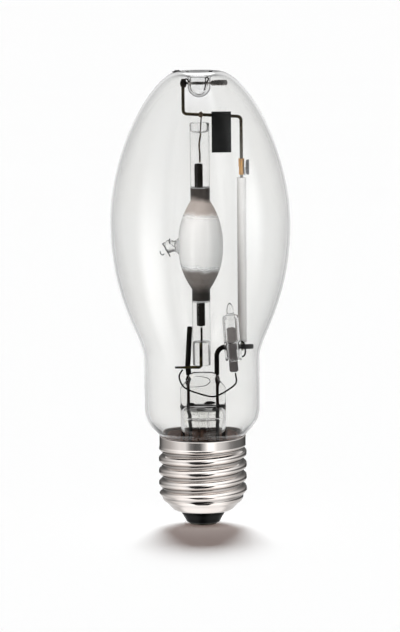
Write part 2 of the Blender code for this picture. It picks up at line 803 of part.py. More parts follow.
def make_electrode(name, foil_end, tip, tungsten):
    """A tungsten electrode: a thin shank with a wound coil just short of its tip."""
    direction = 1.0 if tip > foil_end else -1.0
    shank_start = foil_end + direction * 2 * seat_gap
    pitch = 2 * electrode_coil_radius / 3
    coil_start = tip - direction * (electrode_coil_turns * pitch + electrode_coil_radius)
    outline = [(0.0, shank_start), (electrode_radius, shank_start), (electrode_radius, coil_start)]
    for turn in range(electrode_coil_turns):
        start = coil_start + direction * turn * pitch
        outline += [(electrode_coil_radius, start + direction * 0.3 * pitch),
                    (electrode_coil_radius, start + direction * 0.7 * pitch),
                    (0.75 * electrode_coil_radius, start + direction * pitch)]
    outline += [(electrode_radius, tip - direction * electrode_coil_radius),
                (electrode_radius, tip - direction * electrode_radius), (0.0, tip)]
    electrode = turned(name, outline, small_sides - 4, tungsten)
    electrode.location.y = arc_y
    return electrode


def make_arc_leads(molybdenum):
    """The thin leads outside the foils. The upper one hooks over the frame wire."""
    hook = frame_wire_radius + arc_lead_radius + seat_gap
    hook_x = 0.0006
    fall = frame_cross_fall * (hook_x - frame_left_x) / (frame_right_x - frame_left_x)
    cross = frame_cross_height + frame_cross_fall / 2 - fall
    start = upper_foil_top + 2 * seat_gap
    rise = cross - upper_seal_end
    upper_route = [
        (0.0, arc_y, start), (0.0, arc_y, upper_seal_end + 0.05 * rise),
        (-0.0001, arc_y, upper_seal_end + 0.28 * rise), (0.00025, arc_y + 0.0001, upper_seal_end + 0.57 * rise),
        (0.0005, -hook, cross - 0.0010)]
    route = smooth_route(upper_route, 2)
    for y, z in arc((0.0, 0.0), hook, math.pi, math.pi / 12, 6):
        route.append(Vector((hook_x, y, cross + z)))
    wire("upper_arc_lead", route, arc_lead_radius, molybdenum)
    end = lower_foil_bottom - 2 * seat_gap
    stop = lower_seal_end - 0.0004
    wire("lower_arc_lead", [Vector((0.0, arc_y, end)), Vector((0.0, arc_y, lower_seal_end)),
                            Vector((cross_rod_x, arc_y, stop))], arc_lead_radius, molybdenum)


def make_lower_cross_rod(steel):
    """The rod that leaves the lower leg, turns left and lies across the short support rod."""
    corners = [
        (cross_rod_x, arc_y, lower_seal_end - 0.0004 - seat_gap), (cross_rod_x, arc_y, cross_rod_height),
        (cross_rod_reach, arc_y, cross_rod_height)]
    return wire("lower_cross_rod", rounded_route(corners, cross_rod_bend), cross_rod_radius, steel, 2)


def make_frame_wire(steel):
    """The bent wire that hangs from the dimple's clip and runs over and down the right side."""
    corners = [
        (frame_left_x, 0.0, frame_wire_top),
        (frame_left_x, 0.0, frame_cross_height + frame_cross_fall / 2),
        (frame_right_x, 0.0, frame_cross_height - frame_cross_fall / 2),
        (frame_right_x, 0.0, frame_wire_end)]
    return wire("frame_wire", rounded_route(corners, frame_bend), frame_wire_radius, steel, 3)


def make_dimple_clip(nickel):
    """A strip sprung round the dimple, with an ear round the frame wire and two tails together."""
    ring = clip_ring_radius
    ear = frame_wire_radius + seat_gap + clip_thickness / 2
    tail_angle = math.asin(clip_tail_spread / ring)
    ear_angle = math.asin(ear / ring)
    tail_root = ring * math.cos(tail_angle)
    end_radius = clip_width / 2
    straight_end = clip_tail_reach - end_radius
    front = [(clip_tail_reach - end_radius * share, -clip_tail_spread) for share in (0.0, 0.15, 0.5)]
    front += [(straight_end, -clip_tail_spread)]
    front += [(x, y) for x, y in arc((0.0, 0.0), ring, -tail_angle, -(math.pi - ear_angle), 9)]
    front += [(x, y) for x, y in arc((frame_left_x, 0.0), ear, -math.pi / 2, -math.pi, 3)]
    back = [(x, -y) for x, y in front[:-1]]
    route = front + back[::-1]
    halves = []
    for x, _ in route:
        beyond = max(x - straight_end, 0.0)
        halves.append(math.sqrt(max(end_radius ** 2 - beyond ** 2, (0.35 * end_radius) ** 2)))
    assert tail_root < staple_x < straight_end
    clip = bent_strip("dimple_clip", route, clip_thickness, halves, nickel)
    clip.location.z = clip_height
    return clip


def make_clip_staple(nickel):
    """The staple that pinches the clip's two tails together."""
    reach = clip_tail_spread + clip_thickness / 2 + seat_gap + staple_radius
    top = clip_height + clip_width / 2 + seat_gap + staple_radius
    corners = [(staple_x, -reach, top - staple_height), (staple_x, -reach, top),
               (staple_x, reach, top), (staple_x, reach, top - staple_height)]
    return wire("clip_staple", rounded_route(corners, 1.2 * staple_radius, 3), staple_radius, nickel)


def make_getter_strip(coated):
    """The coated strip folded over the frame wire, long in front and short behind."""
    inner = frame_wire_radius + 2 * seat_gap
    middle = inner + getter_strip_thickness / 2
    share = (getter_strip_x - frame_left_x) / (frame_right_x - frame_left_x)
    cross = frame_cross_height + frame_cross_fall * (0.5 - share)
    route = [(-middle, middle - getter_strip_length)]
    route += arc((0.0, 0.0), middle, math.pi, 0.0, 6)
    route += [(middle, middle - getter_strip_back)]
    strip = bent_strip("getter_strip", route, getter_strip_thickness,
                       [getter_strip_width / 2] * len(route), coated)
    strip.location = (getter_strip_x, 0.0, cross)
    strip.rotation_euler = (math.radians(90), 0.0, math.radians(90))
    return strip


def make_return_side(steel, ceramic, brass):
    """The return wire in its ceramic sleeve, and the collar that joins it to the frame wire."""
    top = Vector((frame_right_x, 0.0, frame_wire_end - seat_gap))
    bottom = Vector((return_wire_x, sleeve_y, return_wire_bottom))
    wire("return_wire", [bottom, top], return_wire_radius, steel)

    run = top - bottom
    tube = turned("ceramic_sleeve", [
        (sleeve_bore, sleeve_bottom - sleeve_top), (sleeve_radius, sleeve_bottom - sleeve_top),
        (sleeve_radius, 0.0), (sleeve_bore, 0.0)], tube_sides, ceramic)
    tube.location = bottom + run * ((sleeve_top - bottom.z) / run.z)
    tube.rotation_mode = "QUATERNION"
    tube.rotation_quaternion = Vector((0.0, 0.0, 1.0)).rotation_difference(run)

    bore = collar_bore + 0.00005
    low = collar_bottom
    flare = collar_radius + 0.0001
    collar = turned("wire_collar", [
        (bore, low), (collar_radius, low), (collar_radius, (low + collar_top) / 2 - 0.0002),
        (flare, (low + collar_top) / 2), (flare, collar_top), (bore, collar_top)], small_sides, brass)
    collar.location.x = frame_right_x


def make_getter_disc(steel):
    """The getter pan, seen edge on beside the collar, and the strap that holds it."""
    strap_x = frame_right_x + collar_radius + seat_gap + getter_strap_thickness / 2
    route = [(strap_x, getter_disc_height - getter_strap_length), (strap_x, getter_disc_height)]
    strap = bent_strip("getter_strap", route, getter_strap_thickness,
                       [getter_strap_width / 2] * len(route), steel)
    strap.rotation_euler.x = math.radians(90)

    rim = getter_disc_rim
    half = getter_disc_thickness / 2
    outer = getter_disc_radius
    pan = turned("getter_disc", [
        (0.0, -half), (outer - rim, -half), (outer, -half + rim), (outer, half),
        (outer - rim, half), (outer - 1.5 * rim, 0.3 * half), (0.0, 0.3 * half)], tube_sides, steel)
    pan.location = (strap_x + getter_strap_thickness / 2 + seat_gap + half, 0.0, getter_disc_height)
    pan.rotation_euler.y = math.radians(90)


def make_starter(quartz, molybdenum, steel):
    """The starter capsule with its foil, which leans on the bent support rod."""
    base = bpy.data.objects.new("starter_base", None)
    bpy.context.scene.collection.objects.link(base)
    base.location = (capsule_x, capsule_y, capsule_bottom)
    base.rotation_euler.y = capsule_tilt

    body = capsule_length
    tip = capsule_tip_radius
    bore = capsule_radius - capsule_wall
    foil_bore = holding_wire_radius
    shoulder = body - 0.0014
    outer = [(capsule_radius, 0.0), (capsule_radius, shoulder)]
    outer += bezier(outer[-1], (capsule_radius, shoulder + 0.0010), (1.2 * tip, body - 0.0006), (tip, body), 4)
    outer += bezier(outer[-1], (tip, body + 0.6 * capsule_tip_length),
                    (0.5 * tip, body + capsule_tip_length), (0.0, body + capsule_tip_length), 4)
    cavity_top = body - capsule_wall
    inner = bezier((0.0, cavity_top), (0.7 * bore, cavity_top), (bore, shoulder), (bore, shoulder - 0.0006), 4)
    inner = [(0.0, cavity_top)] + inner
    inner += [(bore, capsule_seal_length + 0.0008), (0.8 * bore, capsule_seal_length),
              (foil_bore, capsule_seal_length), (foil_bore, 0.0)]
    capsule = turned("starter_capsule", inner + outer, tube_sides, quartz)
    capsule.parent = base
    slot = add_cutter("starter_slot", box_shape(
        capsule_foil_width + 2 * seat_gap, foil_thickness + 2 * seat_gap,
        -0.0005, capsule_seal_length + 0.0004))
    slot.parent = base
    combine(capsule, slot, "DIFFERENCE")
    strip = foil("starter_foil", capsule_foil_width, foil_thickness,
                 -capsule_foil_drop, capsule_foil_length - capsule_foil_drop, molybdenum)
    strip.parent = base

    hold_y = -(support_rod_radius + holding_wire_radius + seat_gap)
    hook_x = capsule_x + capsule_radius + 0.0006
    rod = right_rod_height
    hook = [
        (hook_x - 0.0009, hold_y, rod - 0.0029), (hook_x, hold_y, rod - 0.0026),
        (hook_x + 0.0004, hold_y, rod - 0.0016), (hook_x + 0.0003, hold_y, rod),
        (hook_x, hold_y, rod + 0.0012), (hook_x - 0.0008, hold_y + 0.0002, rod + 0.0018)]
    wire("starter_holding_wire", smooth_route(hook, 3), holding_wire_radius, steel)


def make_starter_wire(steel):
    """The thin wire that swings in front of the press from the cross rod to the starter's foil."""
    under_rod = cross_rod_height - cross_rod_radius - starter_wire_radius - seat_gap
    front = -(press_half_thickness + starter_wire_radius + swing_gap)
    foil_x = capsule_x - capsule_foil_drop * math.sin(capsule_tilt)
    foil_z = capsule_bottom - capsule_foil_drop * math.cos(capsule_tilt)
    stations = (
        (0.00, 0.6 * front, 0.30), (0.05, 0.9 * front, 0.58), (0.15, front, 0.74), (0.33, front, 0.88),
        (0.56, front, 1.00), (0.69, front, 0.95), (0.85, front, 0.78), (1.00, capsule_y, 0.535))
    route = [(0.85 * swing_left, arc_y, under_rod)]
    for across, y, down in stations:
        route.append((swing_left + (swing_right - swing_left) * across, y, cross_rod_height - swing_drop * down))
    route.append((foil_x, capsule_y, foil_z - 2 * seat_gap))
    return wire("starter_wire", smooth_route(route, 2), starter_wire_radius, steel)


def build_lamp():
    """Model every piece of the lamp in its own material."""
    clear_scene()
    make_outer_bulb(make_finish("bulb glass", (0.90, 0.92, 0.92), 0.02, 0.0, 1.0))
    make_screw_shell(make_finish("nickel plate", (0.72, 0.70, 0.67), 0.22, 1.0))
    make_cap_insulator(make_finish("black glass", (0.02, 0.02, 0.022), 0.15, 0.0))
    make_centre_contact(make_finish("contact brass", (0.62, 0.52, 0.34), 0.3, 1.0))
    make_basing_cement(make_finish("basing cement", (0.22, 0.16, 0.13), 0.9, 0.0))
    make_glass_stem(make_finish("stem glass", (0.88, 0.90, 0.90), 0.03, 0.0, 1.0))
    make_exhaust_tube(make_finish("exhaust glass", (0.88, 0.90, 0.90), 0.03, 0.0, 1.0))
    make_seal_wire("left_seal_wire", left_wire_x, make_finish("left seal wire", (0.16, 0.06, 0.03), 0.4, 1.0))
    make_seal_wire("right_seal_wire", right_wire_x, make_finish("right seal wire", (0.2, 0.08, 0.04), 0.4, 1.0))
    make_outer_leads(make_finish("lead copper", (0.35, 0.25, 0.18), 0.35, 1.0))
    rod_steel = make_finish("rod steel", (0.10, 0.09, 0.07), 0.35, 1.0)
    make_support_rods(rod_steel)
    make_arc_tube(make_finish("arc quartz", (0.92, 0.92, 0.92), 0.3, 0.0, 0.6))
    foil_metal = make_finish("foil molybdenum", (0.09, 0.08, 0.08), 0.45, 1.0)
    make_foils(foil_metal)
    tungsten = make_finish("electrode tungsten", (0.3, 0.3, 0.3), 0.4, 1.0)
    upper_foil_end = upper_foil_top - upper_foil_length
    make_electrode("upper_electrode", upper_foil_end, arc_upper_join - electrode_inset, tungsten)
    lower_foil_end = lower_foil_bottom + lower_foil_length
    make_electrode("lower_electrode", lower_foil_end, arc_lower_join + electrode_inset, tungsten)
    make_arc_leads(make_finish("arc lead", (0.25, 0.2, 0.17), 0.4, 1.0))
    make_lower_cross_rod(make_finish("cross rod", (0.14, 0.12, 0.08), 0.3, 1.0))
    make_frame_wire(make_finish("frame wire", (0.16, 0.15, 0.12), 0.3, 1.0))
    clip_metal = make_finish("clip metal", (0.45, 0.42, 0.41), 0.3, 1.0)
    make_dimple_clip(clip_metal)
    make_clip_staple(clip_metal)
    make_getter_strip(make_finish("getter coating", (0.02, 0.022, 0.02), 0.5, 0.3))
    make_return_side(make_finish("return wire", (0.35, 0.33, 0.30), 0.35, 1.0),
                     make_finish("sleeve ceramic", (0.86, 0.85, 0.83), 0.55, 0.0),
                     make_finish("collar brass", (0.70, 0.43, 0.17), 0.3, 1.0))
    make_getter_disc(make_finish("getter pan", (0.18, 0.18, 0.19), 0.4, 1.0))
    make_starter(make_finish("capsule quartz", (0.9, 0.9, 0.9), 0.03, 0.0, 1.0),
                 make_finish("capsule foil", (0.22, 0.21, 0.2), 0.5, 0.8),
                 make_finish("holding wire", (0.07, 0.06, 0.06), 0.4, 1.0))
    make_starter_wire(make_finish("starter wire", (0.12, 0.11, 0.09), 0.35, 1.0))


build_lamp()
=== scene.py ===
"""Looks of a metal halide lamp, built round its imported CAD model.

The glass, the thread and the wires are made again with fine meshes where the CAD ones have few
faces. All lengths are in metres, +Z runs up the lamp's axis and the camera looks along +Y.
"""
import math

import bmesh
import bpy
from bpy.props import FloatProperty, FloatVectorProperty, IntProperty, PointerProperty
from bpy.types import Operator, Panel, PropertyGroup
from mathutils import Matrix, Vector, noise


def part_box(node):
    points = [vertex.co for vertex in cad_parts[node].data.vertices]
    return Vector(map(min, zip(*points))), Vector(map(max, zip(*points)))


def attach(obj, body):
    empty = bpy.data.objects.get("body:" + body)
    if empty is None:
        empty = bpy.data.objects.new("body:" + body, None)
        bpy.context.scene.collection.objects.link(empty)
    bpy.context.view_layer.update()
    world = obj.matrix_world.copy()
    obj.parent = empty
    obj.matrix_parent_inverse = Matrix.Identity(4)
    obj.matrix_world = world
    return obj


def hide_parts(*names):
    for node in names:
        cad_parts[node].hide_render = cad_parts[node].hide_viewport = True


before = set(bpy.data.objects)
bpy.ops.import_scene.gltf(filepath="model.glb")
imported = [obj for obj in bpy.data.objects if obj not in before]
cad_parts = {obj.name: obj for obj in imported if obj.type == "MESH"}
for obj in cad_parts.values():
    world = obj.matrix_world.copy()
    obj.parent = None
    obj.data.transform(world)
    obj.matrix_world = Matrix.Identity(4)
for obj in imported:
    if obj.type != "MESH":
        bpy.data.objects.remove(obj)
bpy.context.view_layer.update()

bl_info = {
    "name": "Metal Halide Lamp Looks",
    "version": (1, 0, 0),
    "blender": (4, 5, 0),
    "location": "3D View > Sidebar > Lamp",
    "description": "Glass, metal and studio for a metal halide lamp",
    "category": "Object",
}

# Clearance that the CAD pieces keep from one another, and the contact from the floor
SEAT_GAP = 0.00012
FLOOR_GAP = 0.00002

# Places that several pieces share
RIM_HEIGHT = 0.0270
BULB_FOOT = 0.0123
PRESS_TOP = 0.0461
PRESS_BOTTOM = 0.0350
STEM_X = 0.0003
STEM_FOOT = 0.01036
BODY_MIDDLE = 0.0845
BODY_TOP = 0.0972
BODY_BOTTOM = 0.0719
UPPER_LEG_TOP = 0.1210
LOWER_LEG_BOTTOM = 0.0484
UPPER_SEAL_END = 0.1180
LOWER_SEAL_END = 0.0561
ARC_Y = -0.00109
LEFT_WIRE_X = -0.0040
RIGHT_WIRE_X = 0.0045
WELD_HEIGHT = 0.0438
BEAD_RADIUS = 0.0009
RIGHT_ROD_HEIGHT = 0.0538
CROSS_ROD_HEIGHT = 0.0477
FRAME_CROSS_LEFT = 0.1236
FRAME_CROSS_RIGHT = 0.1227
FRAME_LEFT_X = -0.0048
FRAME_RIGHT_X = 0.0124
FRAME_TOP = 0.1338
FRAME_END = 0.1078
SLEEVE_X = 0.01232
CLIP_HEIGHT = 0.1329
UPPER_FOIL = (0.1012, 0.1090)
LOWER_FOIL = (0.0602, 0.0694)
STARTER_X = 0.00950
STARTER_Y = -0.00306
STARTER_LEAN = math.radians(-3.6)


def srgb(red, green, blue):
    """A colour as an eye reads it, 0 to 255, turned into the linear numbers that shaders take."""
    linear = []
    for value in (red, green, blue):
        share = value / 255
        linear.append(share / 12.92 if share <= 0.04045 else ((share + 0.055) / 1.055) ** 2.4)
    return tuple(linear)


def length_prop(name, description, default):
    """A size that a user may change, in metres."""
    return FloatProperty(name=name, description=description, default=default, min=0.0,
                         unit="LENGTH", subtype="DISTANCE", precision=5)


def colour_prop(name, description, default):
    """A colour that a user may change."""
    return FloatVectorProperty(name=name, description=description, default=default, size=3,
                               min=0.0, max=1.0, subtype="COLOR")


def share_prop(name, description, default, highest=1.0):
    """A plain number that a user may change, such as a roughness or a light's strength."""
    return FloatProperty(name=name, description=description, default=default, min=0.0, max=highest)


class LampBulbSettings(PropertyGroup):
    """Sizes and colours of the blown bulb."""
    radius: length_prop("Radius", "Outer radius at the widest place", 0.0270)
    wall: length_prop("Wall", "Thickness of the glass", 0.0009)
    waist: length_prop("Waist radius", "Outer radius of the neck", 0.0174)
    colour: colour_prop("Glass colour", "Tint of one wall seen straight on", (0.958, 0.957, 0.950))
    edge_colour: colour_prop("Edge colour", "Tint of the wall seen edge on", (0.93, 0.935, 0.935))
    sides: IntProperty(name="Sides", description="Faces round the bulb", default=160, min=24, max=256)


class LampCapSettings(PropertyGroup):
    """Sizes and colours of the screw cap."""
    rim_radius: length_prop("Rim radius", "Radius of the plain collar", 0.01295)
    crest_radius: length_prop("Crest radius", "Radius of the thread's crests", 0.0132)
    thread_depth: length_prop("Thread depth", "From crest to root", 0.0011)
    pitch: length_prop("Pitch", "Rise of the thread in one turn", 0.00363)
    sheet: length_prop("Sheet", "Thickness of the rolled sheet", 0.0003)
    nickel: colour_prop("Nickel", "Colour of the plated shell", srgb(236, 230, 226))
    inside: colour_prop("Inside", "Colour of the stained inside", srgb(98, 82, 74))
    cement: colour_prop("Cement", "Colour of the basing cement", srgb(112, 84, 70))
    insulator: colour_prop("Insulator", "Colour of the black glass", srgb(16, 15, 15))
    contact: colour_prop("Contact", "Colour of the centre contact", srgb(84, 78, 70))


class LampMountSettings(PropertyGroup):
    """Sizes and colours of the stem, rods and wires."""
    stem_radius: length_prop("Stem radius", "Outer radius of the stem's tube", 0.0068)
    press_half: length_prop("Press half thickness", "Half the thickness of the flat press", 0.0024)
    rod_radius: length_prop("Rod radius", "Radius of the support rods", 0.00072)
    frame_radius: length_prop("Frame wire radius", "Radius of the bent wire above", 0.00048)
    rod_colour: colour_prop("Rod colour", "Colour of the oxidised rods", srgb(40, 37, 32))
    frame_colour: colour_prop("Frame colour", "Colour of the frame wire", srgb(118, 108, 88))
    copper: colour_prop("Seal wire", "Colour of the wires in the press", srgb(48, 25, 19))
    getter: colour_prop("Getter", "Colour of the coated strip", srgb(24, 25, 25))
    brass: colour_prop("Collar", "Colour of the brass collar", srgb(240, 176, 88))
    ceramic: colour_prop("Ceramic", "Colour of the sleeve", srgb(248, 246, 244))


class LampArcTubeSettings(PropertyGroup):
    """Sizes and colours of the arc tube and the starter."""
    body_radius: length_prop("Body radius", "Outer radius of the arc tube", 0.0067)
    body_wall: length_prop("Body wall", "Thickness of the quartz round the arc", 0.0011)
    frost: colour_prop("Frost", "Colour of the whitened inside", srgb(240, 237, 235))
    coat: colour_prop("Coat", "Colour of the heat-keeping coat", srgb(176, 164, 157))
    # Painted shade: the coat on the necks is written dark for the shade it shows with light behind it.
    neck: colour_prop("Neck", "Colour where the coat is burnt on", srgb(54, 48, 44))
    foil: colour_prop("Foil", "Colour of the molybdenum foils", srgb(60, 55, 50))
    capsule_radius: length_prop("Capsule radius", "Outer radius of the starter", 0.0025)


class LampStageSettings(PropertyGroup):
    """Camera, light and floor."""
    distance: length_prop("Camera distance", "From the aim point to the camera", 1.22)
    aim_height: length_prop("Aim height", "Height of the point that the camera looks at", 0.0630)
    aim_x: FloatProperty(name="Aim X", description="Sideways place of the aim point", default=-0.00040,
                         unit="LENGTH", subtype="DISTANCE", precision=5)
    pitch: FloatProperty(name="Pitch", description="How far the camera looks down",
                         default=math.radians(7.3), subtype="ANGLE")
    roll: FloatProperty(name="Roll", description="Turn of the picture", default=math.radians(-0.57),
                        subtype="ANGLE")
    lens: FloatProperty(name="Lens", description="Focal length in millimetres", default=232.0, min=10.0)
    sky: share_prop("Sky", "Strength of the light from all round", 0.10, 4.0)
    ceiling: share_prop("Ceiling", "Brightness overhead as glass bends it into view", 0.22)
    floor_sun: share_prop("Floor sun", "Strength of the light that throws the shadow", 4.70, 20.0)
    front_fill: share_prop("Front fill", "Strength of the soft light from the front", 2.8, 20.0)
    back_fill: share_prop("Back fill", "Strength of the soft light from behind", 1.6, 20.0)
    top_fill: share_prop("Top fill", "Strength of the soft light from above", 1.4, 20.0)
    floor: colour_prop("Floor", "Colour of the floor where light falls", (0.85, 0.90, 0.915))
    shade: colour_prop("Shade", "Light that the floor keeps in shadow", (0.135, 0.085, 0.070))


def bezier(start, start_handle, end_handle, end, steps):
    """Points of a cubic curve after its start, in two or three dimensions."""
    points = []
    for step in range(1, steps + 1):
        t = step / steps
        s = 1.0 - t
        weights = (s ** 3, 3 * s * s * t, 3 * s * t * t, t ** 3)
        corners = (start, start_handle, end_handle, end)
        points.append(tuple(sum(w * corner[axis] for w, corner in zip(weights, corners))
                            for axis in range(len(start))))
    return points


def arc(centre, radius, start_angle, end_angle, steps):
    """Points on a circle in a plane."""
    points = []
    for step in range(steps + 1):
        angle = start_angle + (end_angle - start_angle) * step / steps
        points.append((centre[0] + radius * math.cos(angle), centre[1] + radius * math.sin(angle)))
    return points


def straight(start, end, steps):
    """Points after the start of a straight run."""
    return [tuple(a + (b - a) * step / steps for a, b in zip(start, end)) for step in range(1, steps + 1)]


def offset_line(line, distance):
    """A plane line moved to its right by a distance."""
    moved = []
    for index, point in enumerate(line):
        before = Vector(line[max(index - 1, 0)])
        after = Vector(line[min(index + 1, len(line) - 1)])
        run = (after - before).normalized()
        moved.append((point[0] + run.y * distance, point[1] - run.x * distance))
    return moved


def smooth_step(low, high, value):
    """0 below low, 1 above high, and a smooth rise between."""
    share = min(max((value - low) / (high - low), 0.0), 1.0)
    return share * share * (3.0 - 2.0 * share)


def smooth_route(points, steps):
    """A smooth curve through all the points."""
    points = [Vector(point) for point in points]
    ends = [2 * points[0] - points[1]] + points + [2 * points[-1] - points[-2]]
    route = [points[0]]
    for before, start, end, after in zip(ends, ends[1:], ends[2:], ends[3:]):
        first = start + (end - before) / 6
        second = end - (after - start) / 6
        route += [Vector(point) for point in bezier(start, first, second, end, steps)]
    return route


def smooth_outline(points, steps):
    """A smooth curve through (radius, height) points."""
    return [(p.x, p.y) for p in smooth_route([(r, z, 0.0) for r, z in points], steps)]


def rounded_route(corners, bend_radius, steps=12):
    """Straight runs with a round bend at each corner between them."""
    route = [Vector(corners[0])]
    for before, corner, after in zip(corners, corners[1:], corners[2:]):
        corner = Vector(corner)
        back = (Vector(before) - corner).normalized()
        ahead = (Vector(after) - corner).normalized()
        half_angle = back.angle(ahead) / 2
        reach = bend_radius / math.tan(half_angle)
        centre = corner + (back + ahead).normalized() * (bend_radius / math.sin(half_angle))
        first = (corner + back * reach - centre).normalized()
        last = (corner + ahead * reach - centre).normalized()
        for step in range(steps + 1):
            route.append(centre + first.slerp(last, step / steps) * bend_radius)
    route.append(Vector(corners[-1]))
    return route


def divide(route, spacing):
    """The same route with more points, so that a wire's surface can vary along it."""
    route = [Vector(point) for point in route]
    fine = [route[0]]
    for start, end in zip(route, route[1:]):
        count = max(1, round((end - start).length / spacing))
        fine += [start.lerp(end, step / count) for step in range(1, count + 1)]
    return fine


def join_rings(shape, lower, upper, slot=0):
    """Faces between two rings of points, where a ring of one point is a pole."""
    count = max(len(lower), len(upper))
    for index in range(count):
        after = (index + 1) % count
        if len(lower) == 1:
            corners = (lower[0], upper[index], upper[after])
        elif len(upper) == 1:
            corners = (lower[index], lower[after], upper[0])
        else:
            corners = (lower[index], lower[after], upper[after], upper[index])
        face = shape.faces.new(corners)
        face.material_index = slot


def lathe(outline, sides, centre=(0.0, 0.0), wobble=None, closed=True, into=None, slot=0):
    """A turned shape from (radius, height) points. wobble(angle, radius, height) gives a new pair."""
    shape = into or bmesh.new()
    rings = []
    for radius, height in outline:
        if radius < 1e-7:
            rings.append([shape.verts.new((centre[0], centre[1], height))])
            continue
        ring = []
        for side in range(sides):
            angle = 2 * math.pi * side / sides
            r, z = wobble(angle, radius, height) if wobble else (radius, height)
            x, y = centre[0] + r * math.cos(angle), centre[1] + r * math.sin(angle)
            ring.append(shape.verts.new((x, y, z)))
        rings.append(ring)
    for lower, upper in zip(rings, rings[1:]):
        join_rings(shape, lower, upper, slot)
    if len(rings[0]) > 1 and closed:
        join_rings(shape, rings[-1], rings[0], slot)
    return shape


def column_points(shape, line, angle):
    """New points of an upright column at one angle from (radius, height) points."""
    return [shape.verts.new((r * math.cos(angle), r * math.sin(angle), z)) for r, z in line]


def sweep(route, radius, sides, flat=1.0, width_axis=None):
    """A closed tube along a route, with softened ends. radius is a number or one per point."""
    route = [Vector(point) for point in route]
    radii = list(radius) if hasattr(radius, "__len__") else [radius] * len(route)
    runs = [(b - a).normalized() for a, b in zip(route, route[1:])]
    tangents = [runs[0]] + [(a + b).normalized() for a, b in zip(runs, runs[1:])] + [runs[-1]]
    side = Vector(width_axis) if width_axis else tangents[0].orthogonal()
    side = (side - tangents[0] * side.dot(tangents[0])).normalized()
    ease = 0.3
    stations = [(route[0], 0.62, tangents[0], radii[0]),
                (route[0] + tangents[0] * radii[0] * ease, 1.0, tangents[0], radii[0])]
    stations += [(point, 1.0, tangent, r) for point, tangent, r in
                 zip(route[1:-1], tangents[1:-1], radii[1:-1])]
    stations += [(route[-1] - tangents[-1] * radii[-1] * ease, 1.0, tangents[-1], radii[-1]),
                 (route[-1], 0.62, tangents[-1], radii[-1])]
    shape = bmesh.new()
    rings = []
    last = stations[0][2]
    for point, scale, tangent, r in stations:
        side = last.rotation_difference(tangent) @ side
        last = tangent
        up = tangent.cross(side)
        ring = []
        for index in range(sides):
            angle = 2 * math.pi * index / sides
            offset = side * math.cos(angle) * r * scale + up * math.sin(angle) * r * scale * flat
            ring.append(shape.verts.new(point + offset))
        rings.append(ring)
    for lower, upper in zip(rings, rings[1:]):
        join_rings(shape, lower, upper)
    shape.faces.new(rings[0][::-1])
    shape.faces.new(rings[-1])
    return shape


def blob(centre, radii, seed, rough):
    """An uneven lump, such as a weld or a painted dark blot in glass."""
    shape = bmesh.new()
    bmesh.ops.create_icosphere(shape, subdivisions=3, radius=1.0)
    for point in shape.verts:
        swell = 1.0 + rough * noise.noise(point.co * 1.7 + Vector((seed, 2 * seed, 3 * seed)))
        point.co = Vector(centre) + Vector((point.co.x * radii[0], point.co.y * radii[1],
                                            point.co.z * radii[2])) * swell
    return shape


def add_mesh(name, shape, materials):
    """A new object in the scene from a shape, with its materials."""
    mesh = bpy.data.meshes.new(name)
    shape.to_mesh(mesh)
    shape.free()
    for material in materials:
        mesh.materials.append(material)
    thing = bpy.data.objects.new(name, mesh)
    bpy.context.scene.collection.objects.link(thing)
    return thing


def finish_piece(name, shape, materials, replaced=(), crease=60.0):
    """Turn a shape into a smooth piece that rides on the lamp and stands for its CAD nodes."""
    bmesh.ops.recalc_face_normals(shape, faces=shape.faces)
    piece = add_mesh(name, shape, materials)
    piece.data.shade_smooth()
    piece.data.set_sharp_from_angle(angle=math.radians(crease))
    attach(piece, "root")
    if replaced:
        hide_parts(*replaced)


def finish_set(name, shapes, material):
    """Finish several small pieces of one kind, with a number after the name."""
    for number, shape in enumerate(shapes, 1):
        finish_piece(name + "_" + str(number), shape, [material])


def repaint(node, material):
    """Give a CAD node that keeps its own shape a finished material."""
    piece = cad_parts[node]
    if not piece.material_slots:
        piece.data.materials.append(material)
    for slot in piece.material_slots:
        slot.material = material


def new_tree(name):
    """A material with only its Principled shader and its output."""
    material = bpy.data.materials.new(name)
    material.use_nodes = True
    tree = material.node_tree
    return material, tree, tree.nodes["Principled BSDF"], tree.nodes["Material Output"]


def dial(node, **values):
    """Set a node's unlinked inputs by name."""
    for key, value in values.items():
        node.inputs[key.replace("_", " ")].default_value = value


def feed(node, name, value):
    """Link a value to one of a node's inputs."""
    node.id_data.links.new(value, node.inputs[name])


def add_node(tree, kind, settings=None, **values):
    """A node with its settings, and its unlinked inputs by name."""
    node = tree.nodes.new(kind)
    for key, value in (settings or {}).items():
        setattr(node, key, value)
    dial(node, **values)
    return node


def place(tree, scale=(1.0, 1.0, 1.0)):
    """Object coordinates, scaled so that grain can run along or round the lamp."""
    where = tree.nodes.new("ShaderNodeTexCoord")
    mapping = add_node(tree, "ShaderNodeMapping", Scale=scale)
    feed(mapping, "Vector", where.outputs["Object"])
    return mapping.outputs["Vector"]


def grain(vector, scale, detail=3.0, roughness=0.55, distortion=0.0):
    """A noise pattern from 0 to 1."""
    node = add_node(vector.id_data, "ShaderNodeTexNoise", Scale=scale, Detail=detail, Roughness=roughness,
                    Distortion=distortion)
    feed(node, "Vector", vector)
    return node.outputs["Fac"]


def spread(value, from_low, from_high, to_low, to_high, smooth=False):
    """A value moved from one range to another."""
    kind = {"interpolation_type": "SMOOTHSTEP" if smooth else "LINEAR"}
    node = add_node(value.id_data, "ShaderNodeMapRange", kind, From_Min=from_low, From_Max=from_high,
                    To_Min=to_low, To_Max=to_high)
    feed(node, "Value", value)
    return node.outputs["Result"]


def fade_in(value, low, high):
    """0 below low, 1 above high, and smooth between."""
    return spread(value, low, high, 0.0, 1.0, True)


def fade_out(value, low, high):
    """1 below low, 0 above high, and smooth between."""
    return spread(value, low, high, 1.0, 0.0, True)


